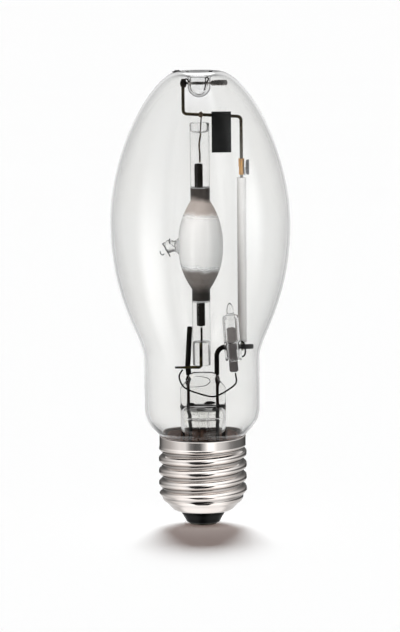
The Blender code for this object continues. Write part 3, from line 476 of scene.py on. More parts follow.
def combine(operation, first, second=0.0):
    """Two values, or a value and a number, put together."""
    linked = [value for value in (first, second) if isinstance(value, bpy.types.NodeSocket)]
    node = add_node(linked[0].id_data, "ShaderNodeMath", {"operation": operation})
    for index, value in enumerate((first, second)):
        if value in linked:
            feed(node, index, value)
        else:
            node.inputs[index].default_value = value
    return node.outputs["Value"]


def times(first, second):
    """One value multiplied by another or by a number."""
    return combine("MULTIPLY", first, second)


def plus(first, second):
    """Two values, or a value and a number, added."""
    return combine("ADD", first, second)


def blend_colours(factor, first, second):
    """A colour between two others, each a plain colour or another node's output."""
    node = add_node(factor.id_data, "ShaderNodeMix", {"data_type": "RGBA"})
    feed(node, 0, factor)
    for index, colour in ((6, first), (7, second)):
        if isinstance(colour, bpy.types.NodeSocket):
            feed(node, index, colour)
        else:
            node.inputs[index].default_value = (*tuple(colour)[:3], 1.0)
    return node.outputs[2]


def shaded(colour, share):
    """A colour with only a share of its light."""
    return tuple(share * c for c in colour)


def axis_value(tree, axis, centre=0.0):
    """One object coordinate in metres, measured from a centre."""
    where = tree.nodes.new("ShaderNodeTexCoord")
    parts = tree.nodes.new("ShaderNodeSeparateXYZ")
    feed(parts, "Vector", where.outputs["Object"])
    return combine("SUBTRACT", parts.outputs[axis], centre)


def radial_value(tree):
    """Distance from the lamp's axis, in metres."""
    across = axis_value(tree, "X")
    along = axis_value(tree, "Y")
    return combine("SQRT", plus(times(across, across), times(along, along)))


def add_bump(shader, height, strength, distance):
    """Fine relief on a surface."""
    node = add_node(shader.id_data, "ShaderNodeBump", Strength=strength, Distance=distance)
    feed(node, "Height", height)
    feed(shader, "Normal", node.outputs["Normal"])


def let_light_through(shader, output, film):
    """Lamps and soft light pass the glass with little loss, as they do through a thin clear wall."""
    tree = shader.id_data
    path = tree.nodes.new("ShaderNodeLightPath")
    passing = combine("MAXIMUM", path.outputs["Is Shadow Ray"], path.outputs["Is Diffuse Ray"])
    mirrored = times(path.outputs["Is Glossy Ray"], path.outputs["Is Reflection Ray"])
    passing = combine("MAXIMUM", passing, mirrored)
    clear = add_node(tree, "ShaderNodeBsdfTransparent", Color=(*film, 1.0))
    mix = tree.nodes.new("ShaderNodeMixShader")
    feed(mix, 0, passing)
    feed(mix, 1, shader.outputs[0])
    feed(mix, 2, clear.outputs[0])
    feed(output, "Surface", mix.outputs[0])


def clear_glass(name, colour, edge_colour, ior, edge_power, ripple):
    """Blown or drawn glass: clear straight on, greyer edge on, with a faint ripple."""
    material, tree, shader, output = new_tree(name)
    dial(shader, Transmission_Weight=1.0, IOR=ior, Specular_IOR_Level=0.3)
    where = place(tree)
    drift = grain(where, 38.0, 2.0)
    facing = add_node(tree, "ShaderNodeLayerWeight", Blend=edge_power)
    edge = fade_in(facing.outputs["Facing"], 0.25, 1.0)
    warm = tuple(c * f for c, f in zip(colour, (1.006, 1.0, 0.990)))
    cool = tuple(c * f for c, f in zip(colour, (0.990, 0.998, 1.004)))
    body = blend_colours(drift, warm, cool)
    tint = blend_colours(edge, body, edge_colour)
    feed(shader, "Base Color", tint)
    haze = spread(grain(where, 420.0, 4.0), 0.45, 0.8, 0.0, 0.05)
    feed(shader, "Roughness", haze)
    waves = grain(place(tree, (1.0, 1.0, 0.35)), 90.0, 2.0)
    add_bump(shader, waves, ripple, 0.0006)
    let_light_through(shader, output, (1.0, 1.0, 1.0))
    return material


def bulb_glass_material(bulb):
    """Clear bulb glass, with a painted glow round the dimple, and less gloss where it sits in the cement.
    """
    glass = clear_glass("bulb glass", bulb.colour, bulb.edge_colour, 1.48, 0.35, 0.035)
    tree = glass.node_tree
    shader = next(node for node in tree.nodes if node.type == "BSDF_PRINCIPLED")
    tint = shader.inputs["Base Color"].links[0].from_socket
    height = axis_value(tree, "Z")
    # Painted highlight: round the dimple the tint goes to white, standing for a white glow there.
    across = combine("ABSOLUTE", plus(axis_value(tree, "X"), 0.0009))
    painted_dimple_glow = times(fade_out(across, 0.0025, 0.0062), fade_in(height, 0.1240, 0.1285))
    feed(shader, "Base Color", blend_colours(painted_dimple_glow, tint, (1.0, 1.0, 1.0)))
    feed(shader, "Specular IOR Level", spread(height, 0.0275, 0.0295, 0.05, 0.3, True))
    return glass


def bare_metal(name, colour, dark, roughness, streaks=(1.0, 1.0, 1.0), scale=900.0, bump=0.12,
               patches=140.0, edge=1.0):
    """Drawn wire or rolled sheet: bright metal with darker patches, fine streaks and soft gloss."""
    material, tree, shader, _ = new_tree(name)
    dial(shader, Metallic=1.0, Specular_Tint=(edge, edge, edge, 1.0))
    where = place(tree)
    lines = grain(place(tree, streaks), scale, 4.0, 0.6)
    stains = fade_in(grain(where, patches, 3.0, 0.6, 0.4), 0.35, 0.7)
    patchy = blend_colours(stains, colour, dark)
    streaky = blend_colours(spread(lines, 0.3, 0.75, 0.0, 0.35), patchy, dark)
    feed(shader, "Base Color", streaky)
    gloss = plus(spread(lines, 0.3, 0.7, roughness - 0.05, roughness + 0.07),
                 spread(stains, 0.0, 1.0, 0.0, 0.08))
    feed(shader, "Roughness", gloss)
    add_bump(shader, lines, bump, 0.00004)
    return material


def plain_solid(name, colour, dark, roughness, scale, bump, specular):
    """A solid that isn't metal, such as ceramic, cement or black glass, with its own mottling."""
    material, tree, shader, _ = new_tree(name)
    where = place(tree)
    speckle = grain(where, scale, 5.0, 0.65)
    cloud = grain(where, scale / 6.0, 2.0)
    mottled = blend_colours(fade_in(cloud, 0.35, 0.7), colour, dark)
    feed(shader, "Base Color", blend_colours(spread(speckle, 0.35, 0.8, 0.0, 0.5), mottled, dark))
    feed(shader, "Roughness", spread(speckle, 0.3, 0.7, roughness - 0.05, roughness + 0.08))
    dial(shader, Specular_IOR_Level=specular)
    add_bump(shader, speckle, bump, 0.00005)
    return material


def bulb_line(bulb):
    """Outer side of the blown bulb, from the dimple's bottom over the dome and down the neck."""
    dimple_bottom, pocket_top = 0.1294, 0.1344
    dimple_radius, rim_radius = 0.0025, 0.0058
    top, widest, waist_height = 0.1364, 0.0910, 0.0505
    line = arc((0.0, dimple_bottom + dimple_radius), dimple_radius, -math.pi / 2, 0.0, 10)
    line[0] = (0.0, dimple_bottom)
    line += straight(line[-1], (dimple_radius, pocket_top), 3)
    crown = (rim_radius, top)
    line += bezier(line[-1], (dimple_radius, top - 0.00108), (0.6 * rim_radius, top), crown, 14)
    dome = bulb.radius - rim_radius
    rise = top - widest
    line += bezier(line[-1], (rim_radius + 0.375 * dome, top), (bulb.radius, widest + 0.485 * rise),
                   (bulb.radius, widest), 60)
    fall = widest - waist_height
    line += bezier(line[-1], (bulb.radius, widest - 0.58 * fall), (bulb.waist, waist_height + 0.16 * fall),
                   (bulb.waist, waist_height), 48)
    shoulder = (0.01725, 0.0360)
    foot = (0.0110, 0.0220)
    line += straight(line[-1], shoulder, 8)
    drop = shoulder[1] - foot[1]
    line += bezier(shoulder, (shoulder[0], shoulder[1] - 0.586 * drop), (foot[0], foot[1] + 0.503 * drop),
                   foot, 26)
    line += straight(foot, (foot[0], BULB_FOOT), 4)
    return line


class LAMP_OT_outer_bulb(Operator):
    """Blow the outer bulb with the dimple in its crown"""
    bl_idname = "lamp.outer_bulb"
    bl_label = "Outer Bulb"

    def execute(self, context):
        bulb = context.scene.lamp_bulb
        glass = bulb_glass_material(bulb)
        outer = bulb_line(bulb)
        inner = offset_line(outer, bulb.wall)
        inner[0] = (0.0, outer[0][1] - bulb.wall)

        def drawn(angle, radius, height):
            """Blown glass is never quite round."""
            where = Vector((math.cos(angle) * 2.0, math.sin(angle) * 2.0, height * 40.0))
            depth = smooth_step(0.006, 0.018, radius) * smooth_step(0.028, 0.05, height)
            return radius + 0.00007 * depth * (noise.noise(where) - 0.5), height

        finish_piece("bulb_glass", lathe(outer + inner[::-1], bulb.sides, wobble=drawn), [glass],
                     ["outer_bulb"])
        # Painted shade: thin dark lines laid on the crown stand for the dark folds the glass shows round
        # the dimple.
        dark = plain_solid("crown painted dark line", srgb(40, 36, 35), srgb(16, 15, 15), 0.3, 900.0, 0.2, 0.1)
        places = ((-0.0080, -0.0054, 0.00030), (-0.0040, -0.0020, 0.00016), (0.0014, 0.0043, 0.00026))
        painted_dark_lines = []
        for number, (start, end, thick) in enumerate(places):
            run = []
            for across in (start + (end - start) * step / 8 for step in range(9)):
                beside = [z for r, z in outer if abs(r - abs(across)) < 0.0006 and z > 0.13]
                wave = 0.00012 * math.sin(2.4 * len(run) + number)
                run.append((across, 0.0004, max(beside, default=0.136) + 0.00008 + wave))
            widths = [thick * (0.35 + 0.65 * math.sin(math.pi * step / 8)) for step in range(9)]
            painted_dark_lines.append(sweep(run, widths, 12))
        finish_set("crown_painted_dark_line", painted_dark_lines, dark)
        return {"FINISHED"}


def nickel_plate(cap):
    """Nickel plating on rolled brass sheet: bright crests, grooves with painted shade and a rougher finish,
    fine lines round the shell.
    """
    material, tree, shader, _ = new_tree("nickel plate")
    dial(shader, Metallic=1.0)
    where = place(tree)
    round_lines = grain(place(tree, (1.0, 1.0, 14.0)), 190.0, 4.0, 0.6)
    clouds = grain(where, 150.0, 3.0, 0.5, 0.3)
    reach = radial_value(tree)
    # Painted shade: the thread's grooves, between the foot and the collar, are darkened and made a little
    # rougher.
    groove = fade_out(reach, cap.crest_radius - cap.thread_depth,
                      cap.crest_radius - 0.25 * cap.thread_depth)
    below = fade_out(axis_value(tree, "Z"), 0.0238, 0.0246)
    above = fade_in(axis_value(tree, "Z"), 0.0078, 0.0088)
    shaded_rough_grooves = times(times(groove, below), above)
    dark = shaded(cap.nickel, 0.30)
    warm = (cap.nickel[0] * 0.98, cap.nickel[1] * 0.93, cap.nickel[2] * 0.90)
    base = blend_colours(spread(clouds, 0.35, 0.7, 0.0, 0.5, True), cap.nickel, warm)
    base = blend_colours(times(shaded_rough_grooves, 0.70), base, dark)
    feed(shader, "Base Color", base)
    gloss = plus(spread(round_lines, 0.3, 0.7, 0.05, 0.10), times(shaded_rough_grooves, 0.03))
    feed(shader, "Roughness", gloss)
    add_bump(shader, round_lines, 0.05, 0.00004)
    return material


def shell_column(cap, angle, rows_per_pitch):
    """Outer side of the shell at one angle, from its rim down to its lip."""
    start, foot, crest_height = 0.0243, 0.0080, 0.01807
    lip_radius, lip_height = 0.0069, 0.0040
    heights = [RIM_HEIGHT, RIM_HEIGHT - 0.0001, RIM_HEIGHT - 0.0006, 0.0254, 0.0248]
    rows = math.ceil((start - foot) / cap.pitch * rows_per_pitch)
    heights += [start - (start - foot) * row / rows for row in range(rows + 1)]
    root = cap.crest_radius - cap.thread_depth
    column = []
    for height in heights:
        phase = (height - crest_height) / cap.pitch - angle / (2 * math.pi)
        groove = ((1.0 - math.cos(2 * math.pi * phase)) / 2) ** 1.9
        begun = smooth_step(0.0, 0.5 * cap.pitch, start - height)
        radius = cap.crest_radius - cap.thread_depth * groove
        radius = cap.rim_radius + (radius - cap.rim_radius) * begun
        ended = smooth_step(0.5 * cap.pitch, 0.0, height - foot)
        column.append((radius + (root - radius) * ended, height))
    column[0] = (cap.rim_radius - 0.00010, RIM_HEIGHT)
    column[1] = (cap.rim_radius - 0.00002, RIM_HEIGHT - 0.0001)
    foot_line = [(root, foot), (root - 0.0004, 0.0073), (0.0106, 0.0064), (0.0098, 0.0055),
                 (0.0090, 0.0047), (0.0079, 0.0042), (lip_radius, lip_height)]
    column += smooth_outline(foot_line, 4)[1:]
    return column


class LAMP_OT_screw_shell(Operator):
    """Roll the screw shell with its thread"""
    bl_idname = "lamp.screw_shell"
    bl_label = "Screw Shell"

    def execute(self, context):
        cap = context.scene.lamp_cap
        stained_and_shaded = shaded(cap.inside, 0.5)
        inside = bare_metal("shell inside", cap.inside, stained_and_shaded, 0.5, scale=300.0)
        sides, rows = 160, 26
        shape = bmesh.new()
        columns = []
        for side in range(sides):
            angle = 2 * math.pi * side / sides
            outer = shell_column(cap, angle, rows)
            line = outer + offset_line(outer, cap.sheet)[::-1]
            columns.append(column_points(shape, line, angle))
        half = len(columns[0]) // 2
        for side in range(sides):
            first, second = columns[side], columns[(side + 1) % sides]
            for row in range(len(first)):
                after = (row + 1) % len(first)
                face = shape.faces.new((first[row], first[after], second[after], second[row]))
                face.material_index = 1 if half + 4 < row < len(first) - 3 else 0
        finish_piece("threaded_shell", shape, [nickel_plate(cap), inside], ["screw_shell"])
        return {"FINISHED"}


class LAMP_OT_cap_bottom(Operator):
    """Press the black insulator and seat the centre contact in it"""
    bl_idname = "lamp.cap_bottom"
    bl_label = "Insulator and Contact"

    def execute(self, context):
        cap = context.scene.lamp_cap
        lip, sheet = 0.0040, 0.00042
        hole, seat, recess = 0.00112, 0.00092, 0.00432
        outline = [(hole, seat), (recess, seat), (recess, 0.00068), (recess + 0.00010, 0.0006)]
        outline += bezier(outline[-1], (0.0050, 0.0006), (0.00505, 0.0009), (0.0053, 0.0014), 8)
        outline += bezier(outline[-1], (0.0057, 0.0024), (0.0064, 0.0031), (0.00650, 0.00370), 10)
        outline += [(0.00662, lip + sheet)]
        outline += bezier(outline[-1], (0.0074, lip + sheet), (0.0080, lip + sheet),
                          (0.0084, lip + sheet + 0.0007), 6)
        outline += [(0.0088, 0.0064), (0.0080, 0.0072), (0.0030, 0.0062), (hole, 0.0056)]
        black = plain_solid("black glass", cap.insulator, srgb(8, 7, 7), 0.30, 260.0, 0.10, 0.10)
        button = lathe(outline, 96)
        finish_piece("insulator_button", button, [black], ["cap_insulator"], 50.0)

        bore = 0.00049
        contact = [(bore, 0.00012), (0.0007, 0.0), (0.0036, 0.0)]
        contact += bezier(contact[-1], (0.0041, 0.0), (0.0042, 0.0001), (0.0042, 0.0005), 6)
        contact += [(0.0042, 0.0008), (0.0010, 0.0008), (0.0010, 0.0060), (bore, 0.0060)]
        brass = bare_metal("contact metal", cap.contact, shaded(cap.contact, 0.55), 0.32, scale=400.0)
        disc = lathe(contact, 64)
        finish_piece("contact_disc", disc, [brass], ["centre_contact"], 40.0)
        return {"FINISHED"}


class LAMP_OT_basing_cement(Operator):
    """Fill the gap between the glass and the shell with cement"""
    bl_idname = "lamp.basing_cement"
    bl_label = "Basing Cement"

    def execute(self, context):
        cap = context.scene.lamp_cap
        line = bulb_line(context.scene.lamp_bulb)
        top, low = 0.0261, 0.0150
        outer_radius = cap.rim_radius - cap.sheet - SEAT_GAP
        neck_radius = cap.crest_radius - cap.thread_depth - cap.sheet - SEAT_GAP
        sides, rows = 144, 16
        shape = bmesh.new()
        columns = []
        for side in range(sides):
            angle = 2 * math.pi * side / sides
            wave = noise.noise(Vector((math.cos(angle) * 1.6, math.sin(angle) * 1.6, 3.1)))
            crumbs = noise.noise(Vector((math.cos(angle) * 9.0, math.sin(angle) * 9.0, 7.7)))
            crown = top - 0.0006 * (0.5 - wave) - 0.00015 * crumbs
            inner = []
            outer = []
            for row in range(rows + 1):
                height = low + (crown - low) * row / rows
                inner.append((radius_at(line, height) + 1.5 * SEAT_GAP, height))
                wall = neck_radius + (outer_radius - neck_radius) * smooth_step(0.0236, 0.0246, height)
                outer.append((max(wall, inner[-1][0] + 0.0001), height))
            loop = inner + outer[::-1]
            columns.append(column_points(shape, loop, angle))
        for side in range(sides):
            join_rings(shape, columns[side], columns[(side + 1) % sides])
        cement = plain_solid("basing cement", cap.cement, srgb(30, 20, 16), 0.85, 900.0, 0.5, 0.0)
        finish_piece("cement_ring", shape, [cement], ["basing_cement"], crease=40.0)
        return {"FINISHED"}


def radius_at(line, height):
    """Radius of the bulb's outline at a height, on its falling side."""
    best = line[-1][0]
    for upper, lower in zip(line, line[1:]):
        if lower[1] <= height <= upper[1] and upper[1] > lower[1]:
            share = (height - lower[1]) / (upper[1] - lower[1])
            best = lower[0] + share * (upper[0] - lower[0])
    return best


def stem_ring(shape, half_width, half_depth, height, squareness, sides=72):
    """An oval ring that turns into a rounded bar as squareness rises to 1."""
    power = 1.0 - 0.5 * squareness
    ring = []
    for side in range(sides):
        angle = 2 * math.pi * side / sides
        across = math.copysign(abs(math.cos(angle)) ** power, math.cos(angle))
        along = math.copysign(abs(math.sin(angle)) ** power, math.sin(angle))
        ring.append(shape.verts.new((STEM_X + half_width * across, half_depth * along, height)))
    return ring


def eased_sections(sections, steps):
    """More sections between the given ones, on a smooth curve."""
    fine = smooth_route([section[:3] for section in sections], steps)
    square = []
    for (_, _, _, first), (_, _, _, second) in zip(sections, sections[1:]):
        square += [first + (second - first) * step / steps for step in range(steps)]
    square.append(sections[-1][3])
    return [(point.x, point.y, point.z, share) for point, share in zip(fine, square)]


def stem_sections(radius, half):
    """Half width, half depth, height and squareness of the stem's rings, down outside and up inside."""
    wall = 0.0010
    tube_end = PRESS_BOTTOM - 0.0045
    flare_end = STEM_FOOT + 0.0075
    bore = radius - wall
    outer = eased_sections([
        (0.42 * radius, 0.30 * half, PRESS_TOP, 0.9),
        (0.60 * radius, 0.70 * half, PRESS_TOP - 0.0006, 0.9),
        (0.68 * radius, 0.95 * half, PRESS_TOP - 0.0017, 0.9),
        (0.76 * radius, half, PRESS_TOP - 0.0027, 1.0),
        (0.97 * radius, half, PRESS_TOP - 0.0045, 1.0),
        (radius, half, PRESS_TOP - 0.0056, 1.0),
        (radius, half, PRESS_BOTTOM + 0.0026, 1.0),
        (radius, 0.55 * radius, PRESS_BOTTOM - 0.0004, 0.6),
        (radius, 0.92 * radius, PRESS_BOTTOM - 0.0026, 0.15),
        (radius, radius, tube_end, 0.0),
        (radius, radius, flare_end, 0.0),
        (radius + 0.0006, radius + 0.0006, flare_end - 0.0028, 0.0),
        (radius + 0.0020, radius + 0.0020, flare_end - 0.0052, 0.0),
        (0.0109, 0.0109, STEM_FOOT + 0.0011, 0.0),
        (0.0109, 0.0109, STEM_FOOT, 0.0)], 6)
    inner = eased_sections([
        (0.0099, 0.0099, STEM_FOOT, 0.0),
        (radius + 0.0008, radius + 0.0008, flare_end - 0.0056, 0.0),
        (bore + 0.0006, bore + 0.0006, flare_end - 0.0030, 0.0),
        (bore, bore, flare_end, 0.0),
        (bore, bore, tube_end, 0.0),
        (bore, 0.78 * bore, PRESS_BOTTOM - 0.0026, 0.15),
        (0.97 * bore, 0.42 * bore, PRESS_BOTTOM - 0.0010, 0.5),
        (0.90 * bore, 0.12 * bore, PRESS_BOTTOM + 0.0002, 0.8),
        (0.80 * bore, 0.03 * bore, PRESS_BOTTOM + 0.0005, 0.8)], 5)
    return outer + inner


def exhaust_line():
    """The exhaust tube's wall, from its melted tip up and back down inside."""
    tip, outer_radius, tube_wall = 0.0135, 0.0018, 0.0006
    tube_bore = outer_radius - tube_wall
    top = PRESS_BOTTOM - 0.0010
    outside = arc((0.0, tip + outer_radius), outer_radius, -math.pi / 2, 0.0, 10)
    outside[0] = (0.0, tip)
    inside = arc((0.0, tip + 2 * tube_wall + tube_bore), tube_bore, -math.pi / 2, 0.0, 10)
    inside[0] = (0.0, tip + 2 * tube_wall)
    outline = outside + straight(outside[-1], (outer_radius, top), 10)
    outline += straight((tube_bore, top + 0.0001), inside[-1], 10) + inside[:-1][::-1]
    return outline


class LAMP_OT_glass_stem(Operator):
    """Shape the flared stem with its flat press, and its exhaust tube"""
    bl_idname = "lamp.glass_stem"
    bl_label = "Glass Stem"

    def execute(self, context):
        mount = context.scene.lamp_mount
        half = mount.press_half
        shape = bmesh.new()
        rings = [stem_ring(shape, *section) for section in stem_sections(mount.stem_radius, half)]
        for lower, upper in zip(rings, rings[1:]):
            join_rings(shape, lower, upper)
        shape.faces.new(rings[0])
        shape.faces.new(rings[-1])
        glass = clear_glass("stem glass", (0.985, 0.985, 0.98), (0.72, 0.72, 0.71), 1.50, 0.35, 0.12)
        painted_dark_marks = plain_solid("painted dark marks", srgb(24, 22, 21), srgb(10, 9, 9), 0.3, 900.0, 0.2, 0.1)
        finish_piece("stem_glass", shape, [glass], ["glass_stem"], 50.0)
        # Painted reflection: dark blots in the press stand for the dark of the cap that the glass reflects
        # there.
        blots = ((-0.0034, 0.0363, 0.0012, 0.00045), (0.0024, 0.0367, 0.0016, 0.00050),
                 (0.0053, 0.0358, 0.0009, 0.00060), (-0.0061, 0.0356, 0.0005, 0.00070),
                 (-0.0003, 0.0350, 0.0014, 0.00034), (0.0037, 0.0349, 0.0008, 0.00050))
        lumps = [blob((x, -0.0004, z), (wide, 0.0003, high), 3.0 + number, 0.45)
                 for number, (x, z, wide, high) in enumerate(blots)]
        finish_set("press_dark_reflection", lumps, painted_dark_marks)
        # A thin line of the same painted dark marks runs over the press face.
        face_y = -(half + 0.00002)
        pit = smooth_route([(-0.0036, face_y, PRESS_TOP - 0.0042), (-0.0010, face_y, PRESS_TOP - 0.0041),
                            (0.0012, face_y, PRESS_TOP - 0.0037), (0.0024, face_y, PRESS_TOP - 0.0026),
                            (0.0018, face_y, PRESS_TOP - 0.0016),
                            (-0.0003, 0.9 * face_y, PRESS_TOP - 0.0011),
                            (-0.0020, 0.85 * face_y, PRESS_TOP - 0.0010)], 8)
        widths = [0.00004 + 0.00007 * math.sin(math.pi * index / (len(pit) - 1))
                  for index in range(len(pit))]
        finish_piece("press_pit_line", sweep(pit, widths, 10), [painted_dark_marks])

        glass = clear_glass("exhaust glass", (0.99, 0.99, 0.985), (0.80, 0.80, 0.80), 1.20, 0.4, 0.1)
        finish_piece("exhaust_glass", lathe(exhaust_line(), 48, (STEM_X, 0.0)), [glass],
                     ["exhaust_tube"])
        return {"FINISHED"}


class LAMP_OT_lead_wires(Operator):
    """Draw the wires that are sealed in the press and the leads below it"""
    bl_idname = "lamp.lead_wires"
    bl_label = "Lead Wires"

    def execute(self, context):
        mount = context.scene.lamp_mount
        copper = bare_metal("seal wire copper", mount.copper, shaded(mount.copper, 0.35), 0.42, scale=700.0,
                            patches=260.0, edge=0.15)
        lead = bare_metal("lead metal", srgb(34, 30, 28), srgb(14, 13, 12), 0.38, scale=700.0, edge=0.2)
        low = PRESS_BOTTOM - 0.0002
        bead = BEAD_RADIUS
        for side, x, squash in (("left", LEFT_WIRE_X, 1.05), ("right", RIGHT_WIRE_X, 0.95)):
            profile = [(0.00043, low), (0.00043, WELD_HEIGHT - 1.9 * bead),
                       (0.00050, WELD_HEIGHT - 1.4 * bead), (0.80 * bead, WELD_HEIGHT - 0.6 * bead),
                       (squash * bead, WELD_HEIGHT + 0.1 * bead), (0.75 * bead, WELD_HEIGHT + 0.8 * bead),
                       (0.00062, WELD_HEIGHT + 1.3 * bead)]
            route = smooth_outline(profile, 6)
            points = [(x, 0.0, z) for _, z in route]
            finish_piece(side + "_weld_wire", sweep(points, [r for r, _ in route], 20), [copper],
                         [side + "_seal_wire"])

        start = low - SEAT_GAP
        shell_root, sheet, wire = 0.0121, 0.0003, 0.00037
        left_end = shell_root - sheet - 3 * wire
        turn = BULB_FOOT - 0.0035
        left = [(LEFT_WIRE_X, 0.0, start), (LEFT_WIRE_X + 0.0004, 0.0, start - 0.0042),
                (LEFT_WIRE_X + 0.0003, 0.0, start - 0.0090), (LEFT_WIRE_X, 0.0, STEM_FOOT + 0.0030),
                (LEFT_WIRE_X - 0.0012, 0.0, turn + 0.0003), (-left_end, 0.0, turn)]
        right = [(RIGHT_WIRE_X, 0.0, start), (RIGHT_WIRE_X, 0.0, start - 0.0120),
                 (RIGHT_WIRE_X - 0.0006, 0.0, STEM_FOOT + 0.0030), (0.0010, 0.0, 0.0090),
                 (0.0, 0.0, 0.0062), (0.0, 0.0, 0.0004)]
        for side, points in (("left", left), ("right", right)):
            finish_piece(side + "_lead", sweep(smooth_route(points, 10), 0.00054, 14), [lead],
                         [side + "_outer_lead"])
        return {"FINISHED"}


class LAMP_OT_support_rods(Operator):
    """Bend the two support rods, the cross rod and the wires of the starter"""
    bl_idname = "lamp.support_rods"
    bl_label = "Support Rods"

    def execute(self, context):
        mount = context.scene.lamp_mount
        rod = bare_metal("oxidised rod", mount.rod_colour, srgb(22, 20, 17), 0.34, streaks=(1.0, 1.0, 0.2),
                         bump=0.15, patches=320.0, edge=0.10)
        radius = mount.rod_radius
        foot = WELD_HEIGHT + 1.3 * BEAD_RADIUS + SEAT_GAP
        left = divide([(LEFT_WIRE_X + 0.0001, 0.0, foot), (LEFT_WIRE_X - 0.0002, 0.0, foot + 0.0030),
                       (LEFT_WIRE_X + 0.0005, 0.0, 0.0600)], 0.0006)
        finish_piece("left_rod", sweep(left, 1.1 * radius, 24), [rod], ["left_support_rod"])
        right = rounded_route([(RIGHT_WIRE_X, 0.0, foot), (RIGHT_WIRE_X, 0.0, RIGHT_ROD_HEIGHT),
                               (0.0156, 0.0, RIGHT_ROD_HEIGHT)], 0.0027, 20)
        finish_piece("right_rod", sweep(divide(right, 0.0008), radius, 24), [rod],
                     ["right_support_rod"])

        gilt = bare_metal("cross rod metal", srgb(112, 102, 68), srgb(26, 23, 17), 0.30, scale=800.0,
                          patches=300.0, edge=0.4)
        cross = rounded_route([(-0.0002, ARC_Y, LOWER_SEAL_END - 0.00052),
                               (-0.0002, ARC_Y, CROSS_ROD_HEIGHT), (-0.00805, ARC_Y, CROSS_ROD_HEIGHT)],
                              0.0009)
        run = divide(cross, 0.0005)
        widths = [0.00048 - 0.00014 * smooth_step(0.0, 0.0075, -p.x) for p in run]
        finish_piece("cross_rod", sweep(run, widths, 18), [gilt], ["lower_cross_rod"])

        solid_cross, solid_wire = 0.00033, 0.00021
        front = -(mount.press_half + solid_wire + 0.0007)
        stations = ((0.00, 0.6 * front, 0.30), (0.05, 0.9 * front, 0.58), (0.15, front, 0.74),
                    (0.33, front, 0.88), (0.56, front, 1.00), (0.69, front, 0.95), (0.85, front, 0.78),
                    (1.00, STARTER_Y, 0.535))
        swing = [(-0.00578, ARC_Y, CROSS_ROD_HEIGHT - solid_cross - solid_wire - SEAT_GAP)]
        for across, y, down in stations:
            swing.append((-0.0068 + 0.0169 * across, y, CROSS_ROD_HEIGHT - 0.0086 * down))
        swing.append((0.00999, STARTER_Y, 0.0462))
        thin_radius = 0.00025
        thin = bare_metal("starter wire metal", srgb(44, 38, 28), srgb(14, 12, 9), 0.34, scale=900.0,
                          patches=420.0, edge=0.3)
        finish_piece("starter_loop", sweep(smooth_route(swing, 8), thin_radius, 14), [thin],
                     ["starter_wire"])

        hold_y = -(radius + thin_radius + SEAT_GAP)
        hook_x = 0.00975 + 0.0023 + 0.0006
        level = RIGHT_ROD_HEIGHT
        hook = [(hook_x - 0.0009, hold_y, level - 0.0029), (hook_x, hold_y, level - 0.0026),
                (hook_x + 0.0004, hold_y, level - 0.0016), (hook_x + 0.0003, hold_y, level),
                (hook_x, hold_y, level + 0.0012), (hook_x - 0.0008, hold_y + 0.0002, level + 0.0018)]
        finish_piece("starter_hook", sweep(smooth_route(hook, 8), thin_radius, 14), [rod],
                     ["starter_holding_wire"])
        return {"FINISHED"}


class LAMP_OT_frame_wire(Operator):
    """Bend the frame wire above the arc tube, with the clip that holds it on the dimple"""
    bl_idname = "lamp.frame_wire"
    bl_label = "Frame Wire and Clip"

    def execute(self, context):
        mount = context.scene.lamp_mount
        steel = bare_metal("frame wire metal", mount.frame_colour, srgb(60, 54, 40), 0.26, scale=800.0,
                           patches=200.0)
        corners = [(FRAME_LEFT_X, 0.0, FRAME_TOP), (FRAME_LEFT_X, 0.0, FRAME_CROSS_LEFT),
                   (FRAME_RIGHT_X, 0.0, FRAME_CROSS_RIGHT), (FRAME_RIGHT_X, 0.0, FRAME_END)]
        route = divide(rounded_route(corners, 0.0012, 16), 0.0008)
        finish_piece("bent_frame_wire", sweep(route, mount.frame_radius, 24), [steel],
                     ["frame_wire"])
        clip = bare_metal("clip metal", srgb(232, 227, 223), srgb(96, 88, 85), 0.24, scale=600.0,
                          patches=420.0)
        inside, outside, half = 0.00352, 0.00377, 0.0003
        ring = lathe([(inside, -half), (outside, -half), (outside, half), (inside, half)], 72)
        ring.transform(Matrix.Translation((0.0, 0.0, CLIP_HEIGHT - 0.0001)))
        finish_piece("clip_ring", ring, [clip], ["dimple_clip"], 40.0)
        tail = [(0.0035, -0.0008, CLIP_HEIGHT - 0.0002), (0.0050, -0.0006, CLIP_HEIGHT),
                (0.0084, -0.0004, CLIP_HEIGHT)]
        finish_piece("clip_tail", sweep(smooth_route(tail, 8), 0.00085, 24, 0.30, (0.0, 0.0, 1.0)), [clip])
        joint = blob((FRAME_LEFT_X + 0.0002, -0.0002, CLIP_HEIGHT), (0.0010, 0.0008, 0.0014), 7.0, 0.45)
        hook = [(-0.0046, -0.0004, CLIP_HEIGHT + 0.0008), (-0.0038, -0.0010, CLIP_HEIGHT + 0.0013),
                (-0.0031, -0.0016, CLIP_HEIGHT + 0.0006), (-0.0030, -0.0019, CLIP_HEIGHT - 0.0004)]
        oxide = bare_metal("clip joint metal", srgb(84, 74, 68), srgb(24, 21, 19), 0.34, patches=700.0,
                           edge=0.3)
        finish_piece("clip_joint", joint, [oxide])
        finish_piece("clip_hook", sweep(smooth_route(hook, 6), 0.00024, 12), [oxide])
        prong = [(0.0016, -0.0026, CLIP_HEIGHT + 0.0016), (0.0022, -0.0028, CLIP_HEIGHT + 0.0018),
                 (0.0028, -0.0024, CLIP_HEIGHT + 0.0012), (0.0020, -0.0030, CLIP_HEIGHT - 0.0002),
                 (0.0016, -0.0032, CLIP_HEIGHT - 0.0020)]
        finish_piece("clip_prong", sweep(smooth_route(prong, 6), 0.00020, 12), [oxide],
                     ["clip_staple"])
        return {"FINISHED"}


